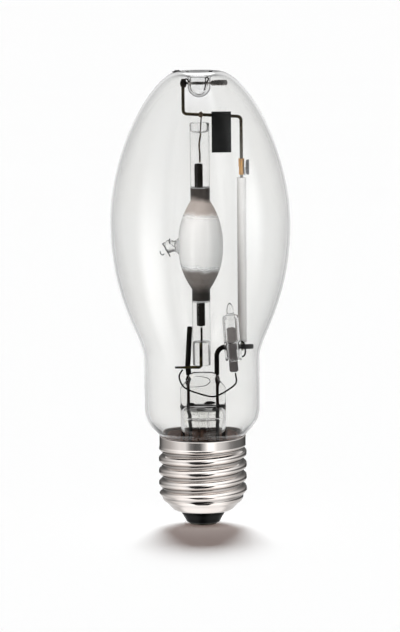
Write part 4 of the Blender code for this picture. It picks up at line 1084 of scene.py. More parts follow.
def arc_body_line(tube):
    """Swollen side of the arc tube from its top join to its bottom join."""
    rise, fall = BODY_TOP - BODY_MIDDLE, BODY_MIDDLE - BODY_BOTTOM
    upper, lower = 0.0029, 0.0027
    line = [(upper, BODY_TOP + 0.0006)]
    line += bezier(line[-1], (upper + 0.40 * (tube.body_radius - upper), BODY_TOP - 0.16 * rise),
                   (tube.body_radius, BODY_MIDDLE + 0.56 * rise), (tube.body_radius, BODY_MIDDLE), 28)
    line += bezier(line[-1], (tube.body_radius, BODY_MIDDLE - 0.56 * fall),
                   (lower + 0.40 * (tube.body_radius - lower), BODY_BOTTOM + 0.16 * fall),
                   (lower, BODY_BOTTOM - 0.0006), 28)
    return line


def cavity_line(tube):
    """Inside of the arc tube's body from bottom to top, on the axis at both ends."""
    reach = tube.body_radius - tube.body_wall
    low, high = BODY_BOTTOM + 0.00176, BODY_TOP - 0.00176
    rise, fall = BODY_TOP - BODY_MIDDLE, BODY_MIDDLE - BODY_BOTTOM
    line = [(0.0, low)]
    line += bezier(line[-1], (0.55 * reach, low + 0.0002), (reach, BODY_MIDDLE - 0.55 * fall),
                   (reach, BODY_MIDDLE), 24)
    tip = (0.0, high)
    line += bezier(line[-1], (reach, BODY_MIDDLE + 0.55 * rise), (0.55 * reach, high - 0.0002), tip, 24)
    return line


def coated_quartz(tube):
    """Clear quartz whose ends carry a grey-brown coat, darker on the lower half, with painted shade at the
    necks.
    """
    material, tree, shader, output = new_tree("arc tube quartz")
    dial(shader, IOR=1.36)
    height = axis_value(tree, "Z")
    where = place(tree)
    waver = spread(grain(where, 260.0, 3.0, 0.55), 0.2, 0.8, -0.0007, 0.0007)
    side = times(axis_value(tree, "X"), 0.07)
    level = plus(plus(height, waver), side)
    upper = fade_in(level, 0.0924, 0.0948)
    lower = fade_out(level, 0.0762, 0.0792)
    ended = times(fade_out(height, 0.1015, 0.1021), fade_in(height, 0.0672, 0.0682))
    coat = times(combine("MAXIMUM", upper, lower), ended)
    # Painted shade: the coat on the necks is made dark for the shade it shows with light behind it, and
    # darker still at the lower neck.
    high_neck = fade_in(level, 0.0972, 0.0994)
    low_neck = fade_out(level, 0.0700, 0.0740)
    neck_shade = combine("MAXIMUM", high_neck, low_neck)
    cloud = spread(grain(where, 380.0, 4.0, 0.6), 0.3, 0.75, 0.0, 1.0)
    darker_low = shaded(tube.coat, 0.30)
    low_half = spread(height, 0.080, 0.088, 1.0, 0.0)
    paint = blend_colours(low_half, tube.coat, darker_low)
    paint = blend_colours(times(cloud, 0.35), paint, shaded(tube.coat, 0.7))
    neck = blend_colours(low_half, tube.neck, shaded(tube.neck, 0.4))
    paint = blend_colours(neck_shade, paint, neck)
    facing = add_node(tree, "ShaderNodeLayerWeight", Blend=0.4)
    edge = fade_in(facing.outputs["Facing"], 0.3, 1.0)
    clear = blend_colours(edge, (0.98, 0.98, 0.98), (0.62, 0.61, 0.60))
    feed(shader, "Base Color", blend_colours(coat, clear, paint))
    feed(shader, "Transmission Weight", spread(coat, 0.0, 1.0, 1.0, 0.0))
    feed(shader, "Roughness", plus(spread(coat, 0.0, 1.0, 0.02, 0.42), times(cloud, 0.06)))
    add_bump(shader, cloud, 0.10, 0.00004)
    let_light_through(shader, output, (0.9, 0.9, 0.9))
    return material


def frosted_inside(tube):
    """The whitened film inside the arc tube, with soft upright streaks."""
    material, tree, shader, _ = new_tree("arc tube frost")
    streaks = grain(place(tree, (1.0, 1.0, 0.12)), 330.0, 3.0, 0.5)
    clouds = grain(place(tree), 160.0, 2.0)
    dim = shaded(tube.frost, 0.95)
    base = blend_colours(fade_in(streaks, 0.35, 0.72), tube.frost, dim)
    base = blend_colours(spread(clouds, 0.4, 0.75, 0.0, 0.5, True), base, dim)
    feed(shader, "Base Color", base)
    feed(shader, "Roughness", spread(streaks, 0.3, 0.7, 0.42, 0.60))
    dial(shader, Specular_IOR_Level=0.3)
    add_bump(shader, clouds, 0.08, 0.0001)
    return material


def nib_shapes(tube):
    """The melted filling nib on the tube's left, and the pinched hollow in it."""
    root, reach = tube.body_radius - 0.0004, 0.0108
    skin = [(0.0027, root), (0.0021, root + 0.0007), (0.00165, root + 0.0014), (0.00175, root + 0.0022),
            (0.00200, root + 0.0030), (0.00165, root + 0.0039), (0.00085, root + 0.0044), (0.0, reach)]
    hollow = [(0.0011, root + 0.0002), (0.00075, root + 0.0010), (0.00055, root + 0.0020),
              (0.00030, root + 0.0028), (0.0, root + 0.0031)]
    shape = lathe([(0.0, root)] + smooth_outline(skin, 4), 40)
    pinch = lathe([(0.0, root + 0.0001)] + smooth_outline(hollow, 4), 32)
    for point in pinch.verts:
        point.co.x += 0.25 * (point.co.z - root)
    turn = Matrix.Translation((0.0, ARC_Y, 0.0843)) @ Matrix.Rotation(math.radians(-90), 4, "Y")
    shape.transform(turn)
    pinch.transform(turn)
    return shape, pinch


class LAMP_OT_arc_tube(Operator):
    """Blow the quartz arc tube with its coated ends, its legs and its nib"""
    bl_idname = "lamp.arc_tube"
    bl_label = "Arc Tube"

    def execute(self, context):
        tube = context.scene.lamp_arc_tube
        centre = (0.0, ARC_Y)
        body = arc_body_line(tube)
        leg_wall = 0.00065
        upper_open, lower_open = body[0][0] - leg_wall, body[-1][0] - leg_wall
        outer = [(body[0][0] - 0.0002, UPPER_LEG_TOP), (body[0][0], UPPER_LEG_TOP - 0.0002)]
        outer += straight(outer[-1], body[0], 16) + body[1:]
        outer += straight(body[-1], (body[-1][0], LOWER_LEG_BOTTOM + 0.0002), 16)
        outer += [(body[-1][0] - 0.0002, LOWER_LEG_BOTTOM)]
        bottom = [(0.0, LOWER_SEAL_END)]
        bottom += bezier(bottom[-1], (0.9 * lower_open, LOWER_SEAL_END),
                         (lower_open, LOWER_SEAL_END - 0.0004), (lower_open, LOWER_SEAL_END - 0.0016), 12)
        bottom += straight(bottom[-1], (lower_open, LOWER_LEG_BOTTOM), 8)
        top = [(0.0, UPPER_SEAL_END)]
        top += bezier(top[-1], (0.9 * upper_open, UPPER_SEAL_END), (upper_open, UPPER_SEAL_END + 0.0004),
                      (upper_open, UPPER_SEAL_END + 0.0016), 12)
        top += straight(top[-1], (upper_open, UPPER_LEG_TOP), 8)
        quartz = coated_quartz(tube)
        shape = lathe(bottom + outer[::-1] + top[::-1], 112, centre)
        lathe(cavity_line(tube), 112, centre, into=shape, slot=1)
        finish_piece("arc_tube_quartz", shape, [quartz, frosted_inside(tube)], ["arc_tube"])

        shape, pinch = nib_shapes(tube)
        glass = clear_glass("nib quartz", (0.97, 0.97, 0.97), (0.10, 0.10, 0.10), 1.46, 0.6, 0.3)
        finish_piece("arc_tube_nib", shape, [glass])
        finish_piece("arc_tube_nib_pinch", pinch, [glass])
        # Painted shade: thin dark lines in the nib stand for the dark marks that the melted glass shows.
        painted_nib_shade = plain_solid("nib painted shade", srgb(34, 30, 28), srgb(14, 12, 11), 0.3, 900.0, 0.2, 0.1)
        front = ARC_Y - 0.0013
        painted_dark_lines = (((-0.0112, 0.0850), (-0.0104, 0.0838), (-0.0097, 0.0823)),
                   ((-0.0121, 0.0830), (-0.0119, 0.0822), (-0.0113, 0.0818), (-0.0109, 0.0822)),
                   ((-0.0115, 0.0850), (-0.0107, 0.0855)),
                   ((-0.0091, 0.0867), (-0.0094, 0.0860), (-0.0091, 0.0850)),
                   ((-0.0101, 0.0832), (-0.0091, 0.0813)))
        lines = [smooth_route([(x, front, z) for x, z in places], 5) for places in painted_dark_lines]
        finish_set("nib_painted_shade", [sweep(line, 0.00016, 10) for line in lines], painted_nib_shade)
        return {"FINISHED"}


class LAMP_OT_arc_tube_metal(Operator):
    """Finish the foils and electrodes, and draw the arc tube's leads"""
    bl_idname = "lamp.arc_tube_metal"
    bl_label = "Foils and Electrodes"

    def execute(self, context):
        tube = context.scene.lamp_arc_tube
        foil = bare_metal("foil metal", tube.foil, shaded(tube.foil, 0.6), 0.5, (1.0, 1.0, 0.2), 700.0,
                          edge=0.1)
        places = (("upper_foil", -0.0003, UPPER_FOIL), ("lower_foil", -0.0001, LOWER_FOIL))
        for name, x, (low, high) in places:
            stations = [(0.00030, low), (0.00085, low + 0.0002), (0.00092, low + 0.0008),
                        (0.00092, high - 0.0006), (0.00087, high - 0.0001), (0.00070, high)]
            route = [Vector((x, ARC_Y, z)) for _, z in stations]
            blade = sweep(route, [half for half, _ in stations], 20, 0.09, (1.0, 0.0, 0.0))
            finish_piece(name + "_blade", blade, [foil], [name], 40.0)
        tungsten = bare_metal("electrode metal", srgb(140, 140, 140), srgb(90, 90, 90), 0.4)
        repaint("upper_electrode", tungsten)
        repaint("lower_electrode", tungsten)

        lead = bare_metal("arc lead metal", srgb(150, 132, 112), srgb(40, 32, 28), 0.36, patches=500.0,
                          edge=0.5)
        mount = context.scene.lamp_mount
        hook = mount.frame_radius + 0.0002 + SEAT_GAP
        hook_x = 0.0006
        cross = FRAME_CROSS_LEFT - 0.0010 * (hook_x - FRAME_LEFT_X) / (FRAME_RIGHT_X - FRAME_LEFT_X)
        start = UPPER_FOIL[1] + 2 * SEAT_GAP
        bend = 0.1112
        rise = cross - bend
        route = [(0.0, ARC_Y, start), (0.0, ARC_Y, bend + 0.05 * rise),
                 (-0.0001, ARC_Y, bend + 0.28 * rise), (0.00025, ARC_Y + 0.0001, bend + 0.57 * rise),
                 (0.0005, -hook, cross - 0.0010)]
        route = smooth_route(route, 8)
        bent_over = arc((0.0, 0.0), hook, math.pi, math.pi / 12, 14)
        route += [Vector((hook_x, y, cross + z)) for y, z in bent_over]
        finish_piece("upper_lead", sweep(route, 0.0002, 12), [lead], ["upper_arc_lead"])
        weld = blob((hook_x - 0.0001, -0.00035, cross + 0.00005), (0.00072, 0.00062, 0.00078), 4.0, 0.35)
        finish_piece("upper_lead_weld", weld, [lead], crease=40.0)

        low = [(0.0, ARC_Y, LOWER_FOIL[0] - 2 * SEAT_GAP), (0.0, ARC_Y, LOWER_SEAL_END),
               (-0.0002, ARC_Y, LOWER_SEAL_END - 0.0004)]
        dark = bare_metal("lower lead metal", srgb(52, 45, 38), srgb(18, 16, 14), 0.36, patches=500.0,
                          edge=0.2)
        finish_piece("lower_lead", sweep(smooth_route(low, 6), 0.00024, 12), [dark],
                     ["lower_arc_lead"])
        return {"FINISHED"}


class LAMP_OT_getters(Operator):
    """Finish the coated getter strip, and press the getter pan"""
    bl_idname = "lamp.getters"
    bl_label = "Getters"

    def execute(self, context):
        mount = context.scene.lamp_mount
        deeper = shaded(mount.getter, 0.5)
        coated = plain_solid("getter coating", mount.getter, deeper, 0.5, 420.0, 0.5, 0.12)
        repaint("getter_strip", coated)
        low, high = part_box("getter_disc")
        middle = (low + high) / 2
        outer = (high.z - low.z) / 2
        half = (high.x - low.x) / 2
        rim = 0.0004
        outline = [(0.0, -half)] + bezier((0.0, -half), (0.5 * outer, -half), (outer - rim, -half),
                                          (outer - 0.3 * rim, -half + 0.6 * rim), 10)
        outline += [(outer, -half + rim), (outer, half), (outer - rim, half),
                    (outer - 1.5 * rim, 0.3 * half), (0.5 * outer, 0.25 * half), (0.0, 0.3 * half)]
        pan = lathe(outline, 48)
        pan.transform(Matrix.Translation(middle) @ Matrix.Rotation(math.radians(90), 4, "Y"))
        steel = bare_metal("getter pan metal", srgb(120, 122, 128), srgb(48, 48, 54), 0.32, scale=500.0,
                           patches=300.0)
        finish_piece("getter_pan", pan, [steel], ["getter_disc"], 40.0)
        repaint("getter_strap", steel)
        return {"FINISHED"}


def sleeve_ceramic(mount):
    """White ceramic with painted shade on the side that faces the arc tube, deeper towards the bottom."""
    material, tree, shader, _ = new_tree("sleeve ceramic")
    where = place(tree)
    speckle = grain(place(tree, (1.0, 1.0, 0.3)), 600.0, 4.0)
    # Painted shade: the side towards the arc tube is browned, more so lower down, for the shade that falls
    # on it.
    across = axis_value(tree, "X", SLEEVE_X)
    facing = spread(across, -0.0011, 0.0017, 1.0, 0.10)
    lower = spread(axis_value(tree, "Z"), 0.066, 0.104, 1.0, 0.55)
    facing = times(facing, lower)
    cloud = spread(grain(place(tree, (1.0, 1.0, 0.1)), 240.0, 2.0), 0.3, 0.7, 0.88, 1.0)
    stained_and_shaded = times(facing, cloud)
    base = blend_colours(spread(speckle, 0.4, 0.8, 0.0, 0.5), mount.ceramic, srgb(226, 222, 218))
    feed(shader, "Base Color", blend_colours(stained_and_shaded, base, srgb(90, 80, 75)))
    feed(shader, "Roughness", spread(grain(where, 500.0), 0.3, 0.7, 0.35, 0.55))
    add_bump(shader, speckle, 0.12, 0.00005)
    return material


class LAMP_OT_return_side(Operator):
    """Slide the ceramic sleeve on the return wire and crimp the brass collar"""
    bl_idname = "lamp.return_side"
    bl_label = "Sleeve and Collar"

    def execute(self, context):
        mount = context.scene.lamp_mount
        top = Vector((FRAME_RIGHT_X, 0.0, FRAME_END - SEAT_GAP))
        wire_radius, bore, skin = 0.00045, 0.00065, 0.00135
        bottom = Vector((0.01225, mount.rod_radius + wire_radius + SEAT_GAP, 0.0525))
        run = top - bottom
        wire = bare_metal("return wire metal", srgb(186, 178, 164), srgb(96, 84, 70), 0.34)
        finish_piece("return_lead", sweep(divide([bottom, top], 0.002), wire_radius, 16), [wire],
                     ["return_wire"])

        high, low = 0.1045, 0.0550
        edge, chamfer = 0.00128, 0.00008
        outline = [(bore, low), (edge, low), (skin, low + chamfer)]
        outline += straight(outline[-1], (skin, high - chamfer), 40)
        outline += [(edge, high), (bore, high)]
        sleeve = lathe([(r, z - high) for r, z in outline], 48)
        start = bottom + run * ((high - bottom.z) / run.z)
        lean = Vector((0.0, 0.0, 1.0)).rotation_difference(run).to_matrix().to_4x4()
        sleeve.transform(Matrix.Translation(start) @ lean)
        finish_piece("sleeve_tube", sleeve, [sleeve_ceramic(mount)], ["ceramic_sleeve"], 50.0)

        radius, flare, half = 0.0008, 0.0009, 0.0024
        low, high = FRAME_END - half, FRAME_END + half
        outline = [(bore, low), (radius, low), (radius, FRAME_END - 0.0002), (flare, FRAME_END),
                   (flare, high), (bore, high)]
        brass = bare_metal("collar brass", mount.brass, shaded(mount.brass, 0.6), 0.30, scale=500.0)
        finish_piece("brass_collar", lathe(outline, 40, (FRAME_RIGHT_X, 0.0)), [brass],
                     ["wire_collar"], 40.0)
        return {"FINISHED"}


def capsule_shape(radius):
    """The starter's quartz, standing on its broken lower end and drawn out to a tip."""
    wall, body, tip, tip_length, seal = 0.0007, 0.0140, 0.0011, 0.0032, 0.0053
    bore = radius - wall
    shoulder = body - 0.0014
    outer = [(bore + 0.0001, 0.0002), (0.5 * (bore + radius), 0.0), (radius, 0.0003)]
    outer += straight(outer[-1], (radius, shoulder), 14)
    outer += bezier(outer[-1], (radius, shoulder + 0.0010), (1.2 * tip, body - 0.0006), (tip, body), 10)
    outer += bezier(outer[-1], (tip, body + 0.6 * tip_length), (0.5 * tip, body + tip_length),
                    (0.0, body + tip_length), 14)
    cavity_top = body - wall
    inner = [(0.0, cavity_top)] + bezier((0.0, cavity_top), (0.7 * bore, cavity_top), (bore, shoulder),
                                         (bore, shoulder - 0.0006), 10)
    inner += straight(inner[-1], (bore, seal + 0.0008), 10)
    inner += bezier(inner[-1], (bore, seal + 0.0002), (0.8 * bore, seal), (0.00135, seal - 0.0001), 6)
    inner += straight(inner[-1], (0.00135, 0.0010), 6)

    def ragged(angle, r, z):
        """The lower end is broken off unevenly."""
        drop = 0.0009 * noise.noise(Vector((2.2 * math.cos(angle), 2.2 * math.sin(angle), 5.0)))
        return r, z + drop * smooth_step(0.0035, 0.0, z)

    shape = lathe(inner + outer, 56, wobble=ragged, closed=False)
    bmesh.ops.bridge_loops(shape, edges=[edge for edge in shape.edges if edge.is_boundary])
    return shape


def starter_foil_material():
    """Dull grey foil that is brighter above."""
    material, tree, shader, _ = new_tree("starter foil")
    level = axis_value(tree, "Z")
    grains = grain(place(tree, (1.0, 1.0, 0.3)), 500.0, 3.0)
    bright = fade_in(level, 0.0545, 0.0555)
    base = blend_colours(bright, srgb(92, 86, 86), srgb(132, 126, 124))
    base = blend_colours(spread(grains, 0.4, 0.8, 0.0, 0.5), base, srgb(70, 66, 66))
    feed(shader, "Base Color", base)
    feed(shader, "Roughness", spread(grains, 0.3, 0.7, 0.45, 0.62))
    dial(shader, Metallic=0.4)
    add_bump(shader, grains, 0.15, 0.00003)
    return material


class LAMP_OT_starter(Operator):
    """Blow the starter capsule and finish its foil"""
    bl_idname = "lamp.starter"
    bl_label = "Starter Capsule"

    def execute(self, context):
        shape = capsule_shape(context.scene.lamp_arc_tube.capsule_radius)
        hang = Matrix.Translation((STARTER_X, STARTER_Y, 0.0502)) @ Matrix.Rotation(STARTER_LEAN, 4, "Y")
        shape.transform(hang)
        glass = clear_glass("capsule quartz", (0.985, 0.985, 0.985), (0.70, 0.70, 0.70), 1.46, 0.3, 0.15)
        finish_piece("capsule_glass", shape, [glass], ["starter_capsule"])

        low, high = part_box("starter_foil")
        middle = (low + high) / 2 + Vector((-0.0004, 0.0, 0.0005))
        half_height = 0.5 * (high.z - low.z) - 0.0001
        reach = half_height * math.tan(STARTER_LEAN)
        ends = [middle + Vector((reach * sign, 0.0, half_height * sign)) for sign in (-1.0, 1.0)]
        strip = sweep(divide(ends, 0.001), 0.00130, 20, 0.07, (1.0, 0.0, 0.0))
        foil = starter_foil_material()
        finish_piece("starter_foil_strip", strip, [foil], ["starter_foil"], 40.0)
        return {"FINISHED"}


def floor_material(stage):
    """A pale floor that shows white where light falls on it and brownish where it is in shadow."""
    material, tree, shader, output = new_tree("studio floor")
    drift = grain(place(tree), 3.0, 2.0)
    lighter = tuple(min(c * 1.004, 1.0) for c in stage.floor)
    base = blend_colours(drift, stage.floor, lighter)
    feed(shader, "Base Color", base)
    dial(shader, Roughness=1.0, Specular_IOR_Level=0.0)
    path = tree.nodes.new("ShaderNodeLightPath")
    bounced = combine("MAXIMUM", path.outputs["Is Glossy Ray"], path.outputs["Is Transmission Ray"])
    seen = combine("MAXIMUM", path.outputs["Is Camera Ray"], bounced)
    glow = add_node(tree, "ShaderNodeEmission", Color=(*stage.shade, 1.0))
    feed(glow, "Strength", seen)
    total = tree.nodes.new("ShaderNodeAddShader")
    feed(total, 0, shader.outputs[0])
    feed(total, 1, glow.outputs[0])
    feed(output, "Surface", total.outputs[0])
    return material


def light_group(name, pieces, state):
    """The pieces that a lamp shines on, or with EXCLUDE all but those."""
    group = bpy.data.collections.new(name)
    for piece in pieces:
        group.objects.link(piece)
    for member in group.collection_objects:
        member.light_linking.link_state = state
    return group


def soft_sun(name, azimuth, elevation, strength, width, lit, shading=None):
    """A soft distant lamp. Azimuth 0 is the camera's side and grows to the right."""
    light = bpy.data.lights.new(name, "SUN")
    light.energy = strength
    light.angle = math.radians(width)
    light.specular_factor = 0.0
    lamp = bpy.data.objects.new(name, light)
    bpy.context.scene.collection.objects.link(lamp)
    turn, lift = math.radians(azimuth), math.radians(elevation)
    source = Vector((math.cos(lift) * math.sin(turn), -math.cos(lift) * math.cos(turn), math.sin(lift)))
    lamp.rotation_euler = source.to_track_quat("Z", "Y").to_euler()
    lamp.visible_glossy = False
    lamp.visible_transmission = False
    lamp.location = source * 0.6
    lamp.light_linking.receiver_collection = lit
    if shading:
        lamp.light_linking.blocker_collection = shading


def glow_spot(turn, height, azimuth, width, level, tall, strength):
    """A soft bright patch on the tent's cloth."""
    across = combine("DIVIDE", combine("SUBTRACT", turn, azimuth / 360 + 0.5), width / 360)
    upward = combine("DIVIDE", combine("SUBTRACT", height, level), tall)
    flat = combine("POWER", combine("ABSOLUTE", across), 3.0)
    total = plus(flat, times(upward, upward))
    fade = combine("EXPONENT", times(total, -1.0))
    return times(fade, strength)


def turn_value(tree):
    """Place round the lamp, 0 to 1, with 0.5 on the camera's side."""
    across = axis_value(tree, "X")
    ahead = times(axis_value(tree, "Y"), -1.0)
    return plus(combine("DIVIDE", combine("ARCTAN2", across, ahead), 2 * math.pi), 0.5)


def belt(turn, stops):
    """Brightness round a tent from (azimuth, brightness) stops."""
    node = add_node(turn.id_data, "ShaderNodeValToRGB")
    elements = node.color_ramp.elements
    while len(elements) > 1:
        elements.remove(elements[-1])
    for index, (azimuth, share) in enumerate(stops):
        position = azimuth / 360 + 0.5
        element = elements.new(position) if index else elements[0]
        element.position = position
        element.color = (share, share, share, 1.0)
    feed(node, "Fac", turn)
    return node.outputs["Color"]


def shining_cloth(name, light_of):
    """Cloth that shines with a brightness worked out by a function of its node tree."""
    material, tree, shader, output = new_tree(name)
    glow = add_node(tree, "ShaderNodeEmission")
    feed(glow, "Strength", light_of(tree))
    feed(output, "Surface", glow.outputs[0])
    tree.nodes.remove(shader)
    return material


def near_light(tree):
    """Close round the bulb: dark to the camera, greyer at the sides, two windows, a bright crown."""
    turn = turn_value(tree)
    height = axis_value(tree, "Z")
    low = belt(turn, [(-180, 0.36), (-140, 0.38), (-115, 0.66), (-84, 0.47), (-60, 0.34), (-45, 0.30),
                      (-30, 0.12), (-21, 0.02), (22, 0.02), (45, 0.04), (60, 0.14), (84, 0.40), (115, 0.66),
                      (140, 0.38), (180, 0.36)])
    middle = belt(turn, [(-180, 0.34), (-140, 0.38), (-115, 0.72), (-93, 0.49), (-71, 0.28), (-54, 0.12),
                         (-30, 0.07), (-23, 0.02), (23, 0.02), (30, 0.07), (54, 0.12), (71, 0.26),
                         (93, 0.50), (115, 0.72), (140, 0.38), (180, 0.34)])
    high = belt(turn, [(-180, 0.20), (-140, 0.24), (-115, 0.66), (-90, 0.42), (-75, 0.24), (-60, 0.12),
                       (-48, 0.02), (48, 0.02), (60, 0.12), (75, 0.24), (90, 0.42), (115, 0.66),
                       (140, 0.24), (180, 0.20)])
    hem = belt(turn, [(-180, 0.30), (-146, 0.36), (-128, 0.50), (-84, 0.47), (-60, 0.30), (-36, 0.06),
                      (-21, 0.02), (22, 0.02), (36, 0.04), (60, 0.14), (84, 0.40), (128, 0.50), (146, 0.36),
                      (180, 0.30)])
    low = blend_colours(fade_in(height, 0.040, 0.046), hem, low)
    cloth = blend_colours(fade_in(height, 0.058, 0.072), low, middle)
    cloth = blend_colours(fade_in(height, 0.098, 0.116), cloth, high)
    windows = plus(glow_spot(turn, height, -37.5, 10.5, 0.079, 0.025, 2.3),
                   glow_spot(turn, height, 38.0, 10.5, 0.0975, 0.020, 2.2))
    crown = times(spread(radial_value(tree), 0.002, 0.0065, 3.2, 0.0, True), fade_in(height, 0.130, 0.136))
    total = plus(times(cloth, 1.4), windows)
    skirt = belt(turn, [(-180, 0.75), (-98, 0.75), (-76, 0.30), (-52, 0.02), (52, 0.02), (72, 0.40),
                        (92, 0.80), (180, 0.80)])
    return blend_colours(fade_in(height, 0.0278, 0.0292), skirt, plus(total, crown))


def far_light(tree):
    """Round the cap: what lies level with it, then the dark side of the camera, then the pale ground."""
    turn = turn_value(tree)
    lift = axis_value(tree, "Z", 0.015)
    level = belt(turn, [(-180, 0.04), (-150, 0.06), (-128, 0.20), (-97, 0.34), (-63, 0.62), (-47, 0.62),
                        (-33, 0.16), (-20, 0.08), (-6, 0.10), (5, 0.45), (15, 1.0), (27, 1.0), (40, 0.62),
                        (63, 0.40), (80, 0.18), (98, 0.12), (122, 0.10), (150, 0.05), (180, 0.04)])
    lower = belt(turn, [(-180, 0.50), (-150, 0.45), (-125, 0.35), (-95, 0.60), (-60, 0.85), (-42, 0.62),
                        (-33, 0.005), (27, 0.005), (36, 0.95), (60, 1.0), (90, 0.60), (120, 0.40),
                        (150, 0.45), (180, 0.50)])
    upper = belt(turn, [(-180, 0.08), (-150, 0.10), (-125, 0.28), (-60, 0.90), (0, 1.0), (60, 1.0),
                        (125, 0.28), (150, 0.10), (180, 0.08)])
    ground = belt(turn, [(-180, 0.70), (-90, 0.90), (-42, 1.0), (-33, 0.06), (27, 0.06), (36, 1.0),
                         (90, 0.85), (180, 0.70)])
    cloth = blend_colours(fade_in(lift, -0.225, -0.190), lower, level)
    cloth = blend_colours(fade_in(lift, -0.06, 0.02), cloth, upper)
    cloth = blend_colours(fade_out(lift, -0.86, -0.70), cloth, ground)
    cloth = blend_colours(fade_out(lift, -0.985, -0.955), cloth, (0.84, 0.83, 0.82))
    return times(cloth, 1.4)


def tent(name, shape, light_of):
    """Part of a tent of cloth that shows only in glossy surfaces and throws no light of its own."""
    cloth = add_mesh(name, shape, [shining_cloth(name + " cloth", light_of)])
    cloth.data.shade_smooth()
    for kind in ("camera", "diffuse", "transmission", "volume_scatter", "shadow"):
        setattr(cloth, "visible_" + kind, False)


def studio_air(scene, stage):
    """Air that is white to the camera, faint as light, and darker overhead where glass bends it."""
    world = bpy.data.worlds.new("studio air")
    scene.world = world
    world.use_nodes = True
    tree = world.node_tree
    background = tree.nodes["Background"]
    background.inputs["Color"].default_value = (1.0, 1.0, 1.0, 1.0)
    path = tree.nodes.new("ShaderNodeLightPath")
    seen = combine("MAXIMUM", path.outputs["Is Camera Ray"], path.outputs["Is Glossy Ray"])
    direct = spread(seen, 0.0, 1.0, stage.sky, 1.0)
    where = tree.nodes.new("ShaderNodeTexCoord")
    parts = tree.nodes.new("ShaderNodeSeparateXYZ")
    feed(parts, "Vector", where.outputs["Generated"])
    overhead = spread(parts.outputs["Z"], 0.10, 0.45, 1.0, stage.ceiling, True)
    bent = path.outputs["Is Transmission Ray"]
    through = times(bent, overhead)
    unbent = times(combine("SUBTRACT", 1.0, bent), direct)
    feed(background, "Strength", plus(through, unbent))


def studio_lamps(floor, stage):
    """The lamp that throws the cap's shadow on the floor, and three soft lamps for all the rest."""
    everything_else = light_group("lit_without_floor", [floor], "EXCLUDE")
    only_floor = light_group("floor_alone", [floor], "INCLUDE")
    only_cap = light_group("cap_alone", [bpy.data.objects["threaded_shell"]], "INCLUDE")
    soft_sun("floor_sun", 180.0, 37.0, stage.floor_sun, 25.0, only_floor, only_cap)
    soft_sun("front_fill", -20.0, 20.0, stage.front_fill, 80.0, everything_else)
    soft_sun("back_fill", 165.0, 25.0, stage.back_fill, 80.0, everything_else)
    soft_sun("top_fill", -35.0, 75.0, stage.top_fill, 60.0, everything_else)


def hang_tents():
    """One tent close round the bulb, and one far round the cap."""
    near = [(0.0136, 0.0273), (0.0160, 0.0274), (0.0190, 0.0278), (0.0206, 0.0290), (0.0212, 0.034),
            (0.0212, 0.050), (0.0230, 0.058), (0.0265, 0.068), (0.0295, 0.078), (0.0310, 0.090),
            (0.0305, 0.100), (0.0285, 0.112), (0.0250, 0.124), (0.0200, 0.134), (0.0130, 0.141),
            (0.0060, 0.1435)]
    near = smooth_outline(near, 4) + [(0.0, 0.144)]
    tent("near_tent", lathe(near, 96, closed=False), near_light)
    steps_up, middle = 48, 0.015
    sphere = []
    for step in range(steps_up + 1):
        angle = math.pi * step / steps_up
        sphere.append((math.sin(angle), middle - math.cos(angle)))
    sphere[0], sphere[-1] = (0.0, middle - 1.0), (0.0, middle + 1.0)
    tent("far_tent", lathe(sphere, 96, closed=False), far_light)


def photo_camera(scene, stage):
    """The camera, at the photograph's viewing angle."""
    camera_data = bpy.data.cameras.new("photo_camera")
    camera = bpy.data.objects.new("photo_camera", camera_data)
    scene.collection.objects.link(camera)
    scene.camera = camera
    camera_data.lens = stage.lens
    camera_data.sensor_width = 36.0
    camera_data.clip_end = 20.0
    aim = Vector((stage.aim_x, 0.0, stage.aim_height))
    back = Vector((0.0, -math.cos(stage.pitch), math.sin(stage.pitch)))
    camera.location = aim + back * stage.distance
    turn = Matrix.Rotation(math.pi / 2 - stage.pitch, 4, "X") @ Matrix.Rotation(stage.roll, 4, "Z")
    camera.rotation_euler = turn.to_euler()


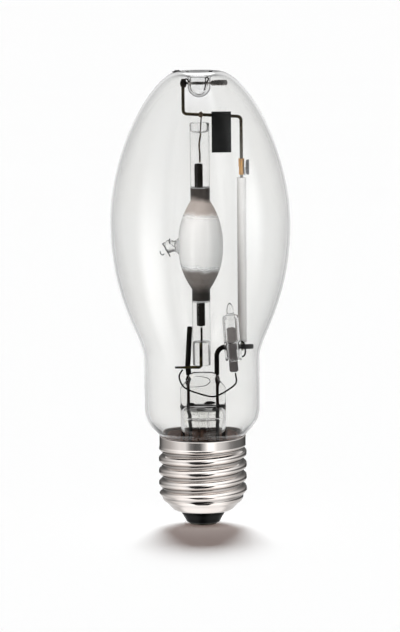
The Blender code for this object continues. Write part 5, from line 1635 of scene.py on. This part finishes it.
class LAMP_OT_stage(Operator):
    """Set the floor, the soft studio light and the camera"""
    bl_idname = "lamp.stage"
    bl_label = "Stage"

    def execute(self, context):
        stage = context.scene.lamp_stage
        scene = context.scene
        shape = bmesh.new()
        bmesh.ops.create_grid(shape, x_segments=2, y_segments=2, size=6.0)
        floor = add_mesh("studio_floor", shape, [floor_material(stage)])
        floor.location.z = -FLOOR_GAP
        floor.visible_glossy = False
        studio_air(scene, stage)
        studio_lamps(floor, stage)
        hang_tents()
        photo_camera(scene, stage)
        scene.view_settings.view_transform = "Standard"
        return {"FINISHED"}


class LAMP_PT_panel(Panel):
    """Steps that dress the lamp, in order"""
    bl_idname = "LAMP_PT_panel"
    bl_label = "Metal Halide Lamp"
    bl_space_type = "VIEW_3D"
    bl_region_type = "UI"
    bl_category = "Lamp"

    def draw(self, context):
        layout = self.layout
        for group_name in settings:
            box = layout.box()
            group = getattr(context.scene, group_name)
            for prop_name in group.bl_rna.properties.keys():
                if prop_name not in ("rna_type", "name"):
                    box.prop(group, prop_name)
        for step in steps:
            layout.operator(step.bl_idname)


settings = {"lamp_bulb": LampBulbSettings, "lamp_cap": LampCapSettings, "lamp_mount": LampMountSettings,
            "lamp_arc_tube": LampArcTubeSettings, "lamp_stage": LampStageSettings}
steps = (LAMP_OT_outer_bulb, LAMP_OT_screw_shell, LAMP_OT_cap_bottom, LAMP_OT_basing_cement,
         LAMP_OT_glass_stem, LAMP_OT_lead_wires, LAMP_OT_support_rods, LAMP_OT_frame_wire,
         LAMP_OT_arc_tube, LAMP_OT_arc_tube_metal, LAMP_OT_getters, LAMP_OT_return_side,
         LAMP_OT_starter, LAMP_OT_stage)


def register():
    """Add the classes and hang the settings on the scene."""
    for cls in (*settings.values(), *steps, LAMP_PT_panel):
        bpy.utils.register_class(cls)
    for name, group in settings.items():
        setattr(bpy.types.Scene, name, PointerProperty(type=group))


def unregister():
    """Take the settings and the classes away again."""
    for name in settings:
        delattr(bpy.types.Scene, name)
    for cls in reversed((*settings.values(), *steps, LAMP_PT_panel)):
        bpy.utils.unregister_class(cls)


def main():
    """Register, and dress the lamp step by step."""
    register()
    for step in steps:
        section, action = step.bl_idname.split(".")
        result = getattr(getattr(bpy.ops, section), action)()
        if result != {"FINISHED"}:
            raise RuntimeError(step.bl_label + " did not finish")


if __name__ == "__main__":
    main()
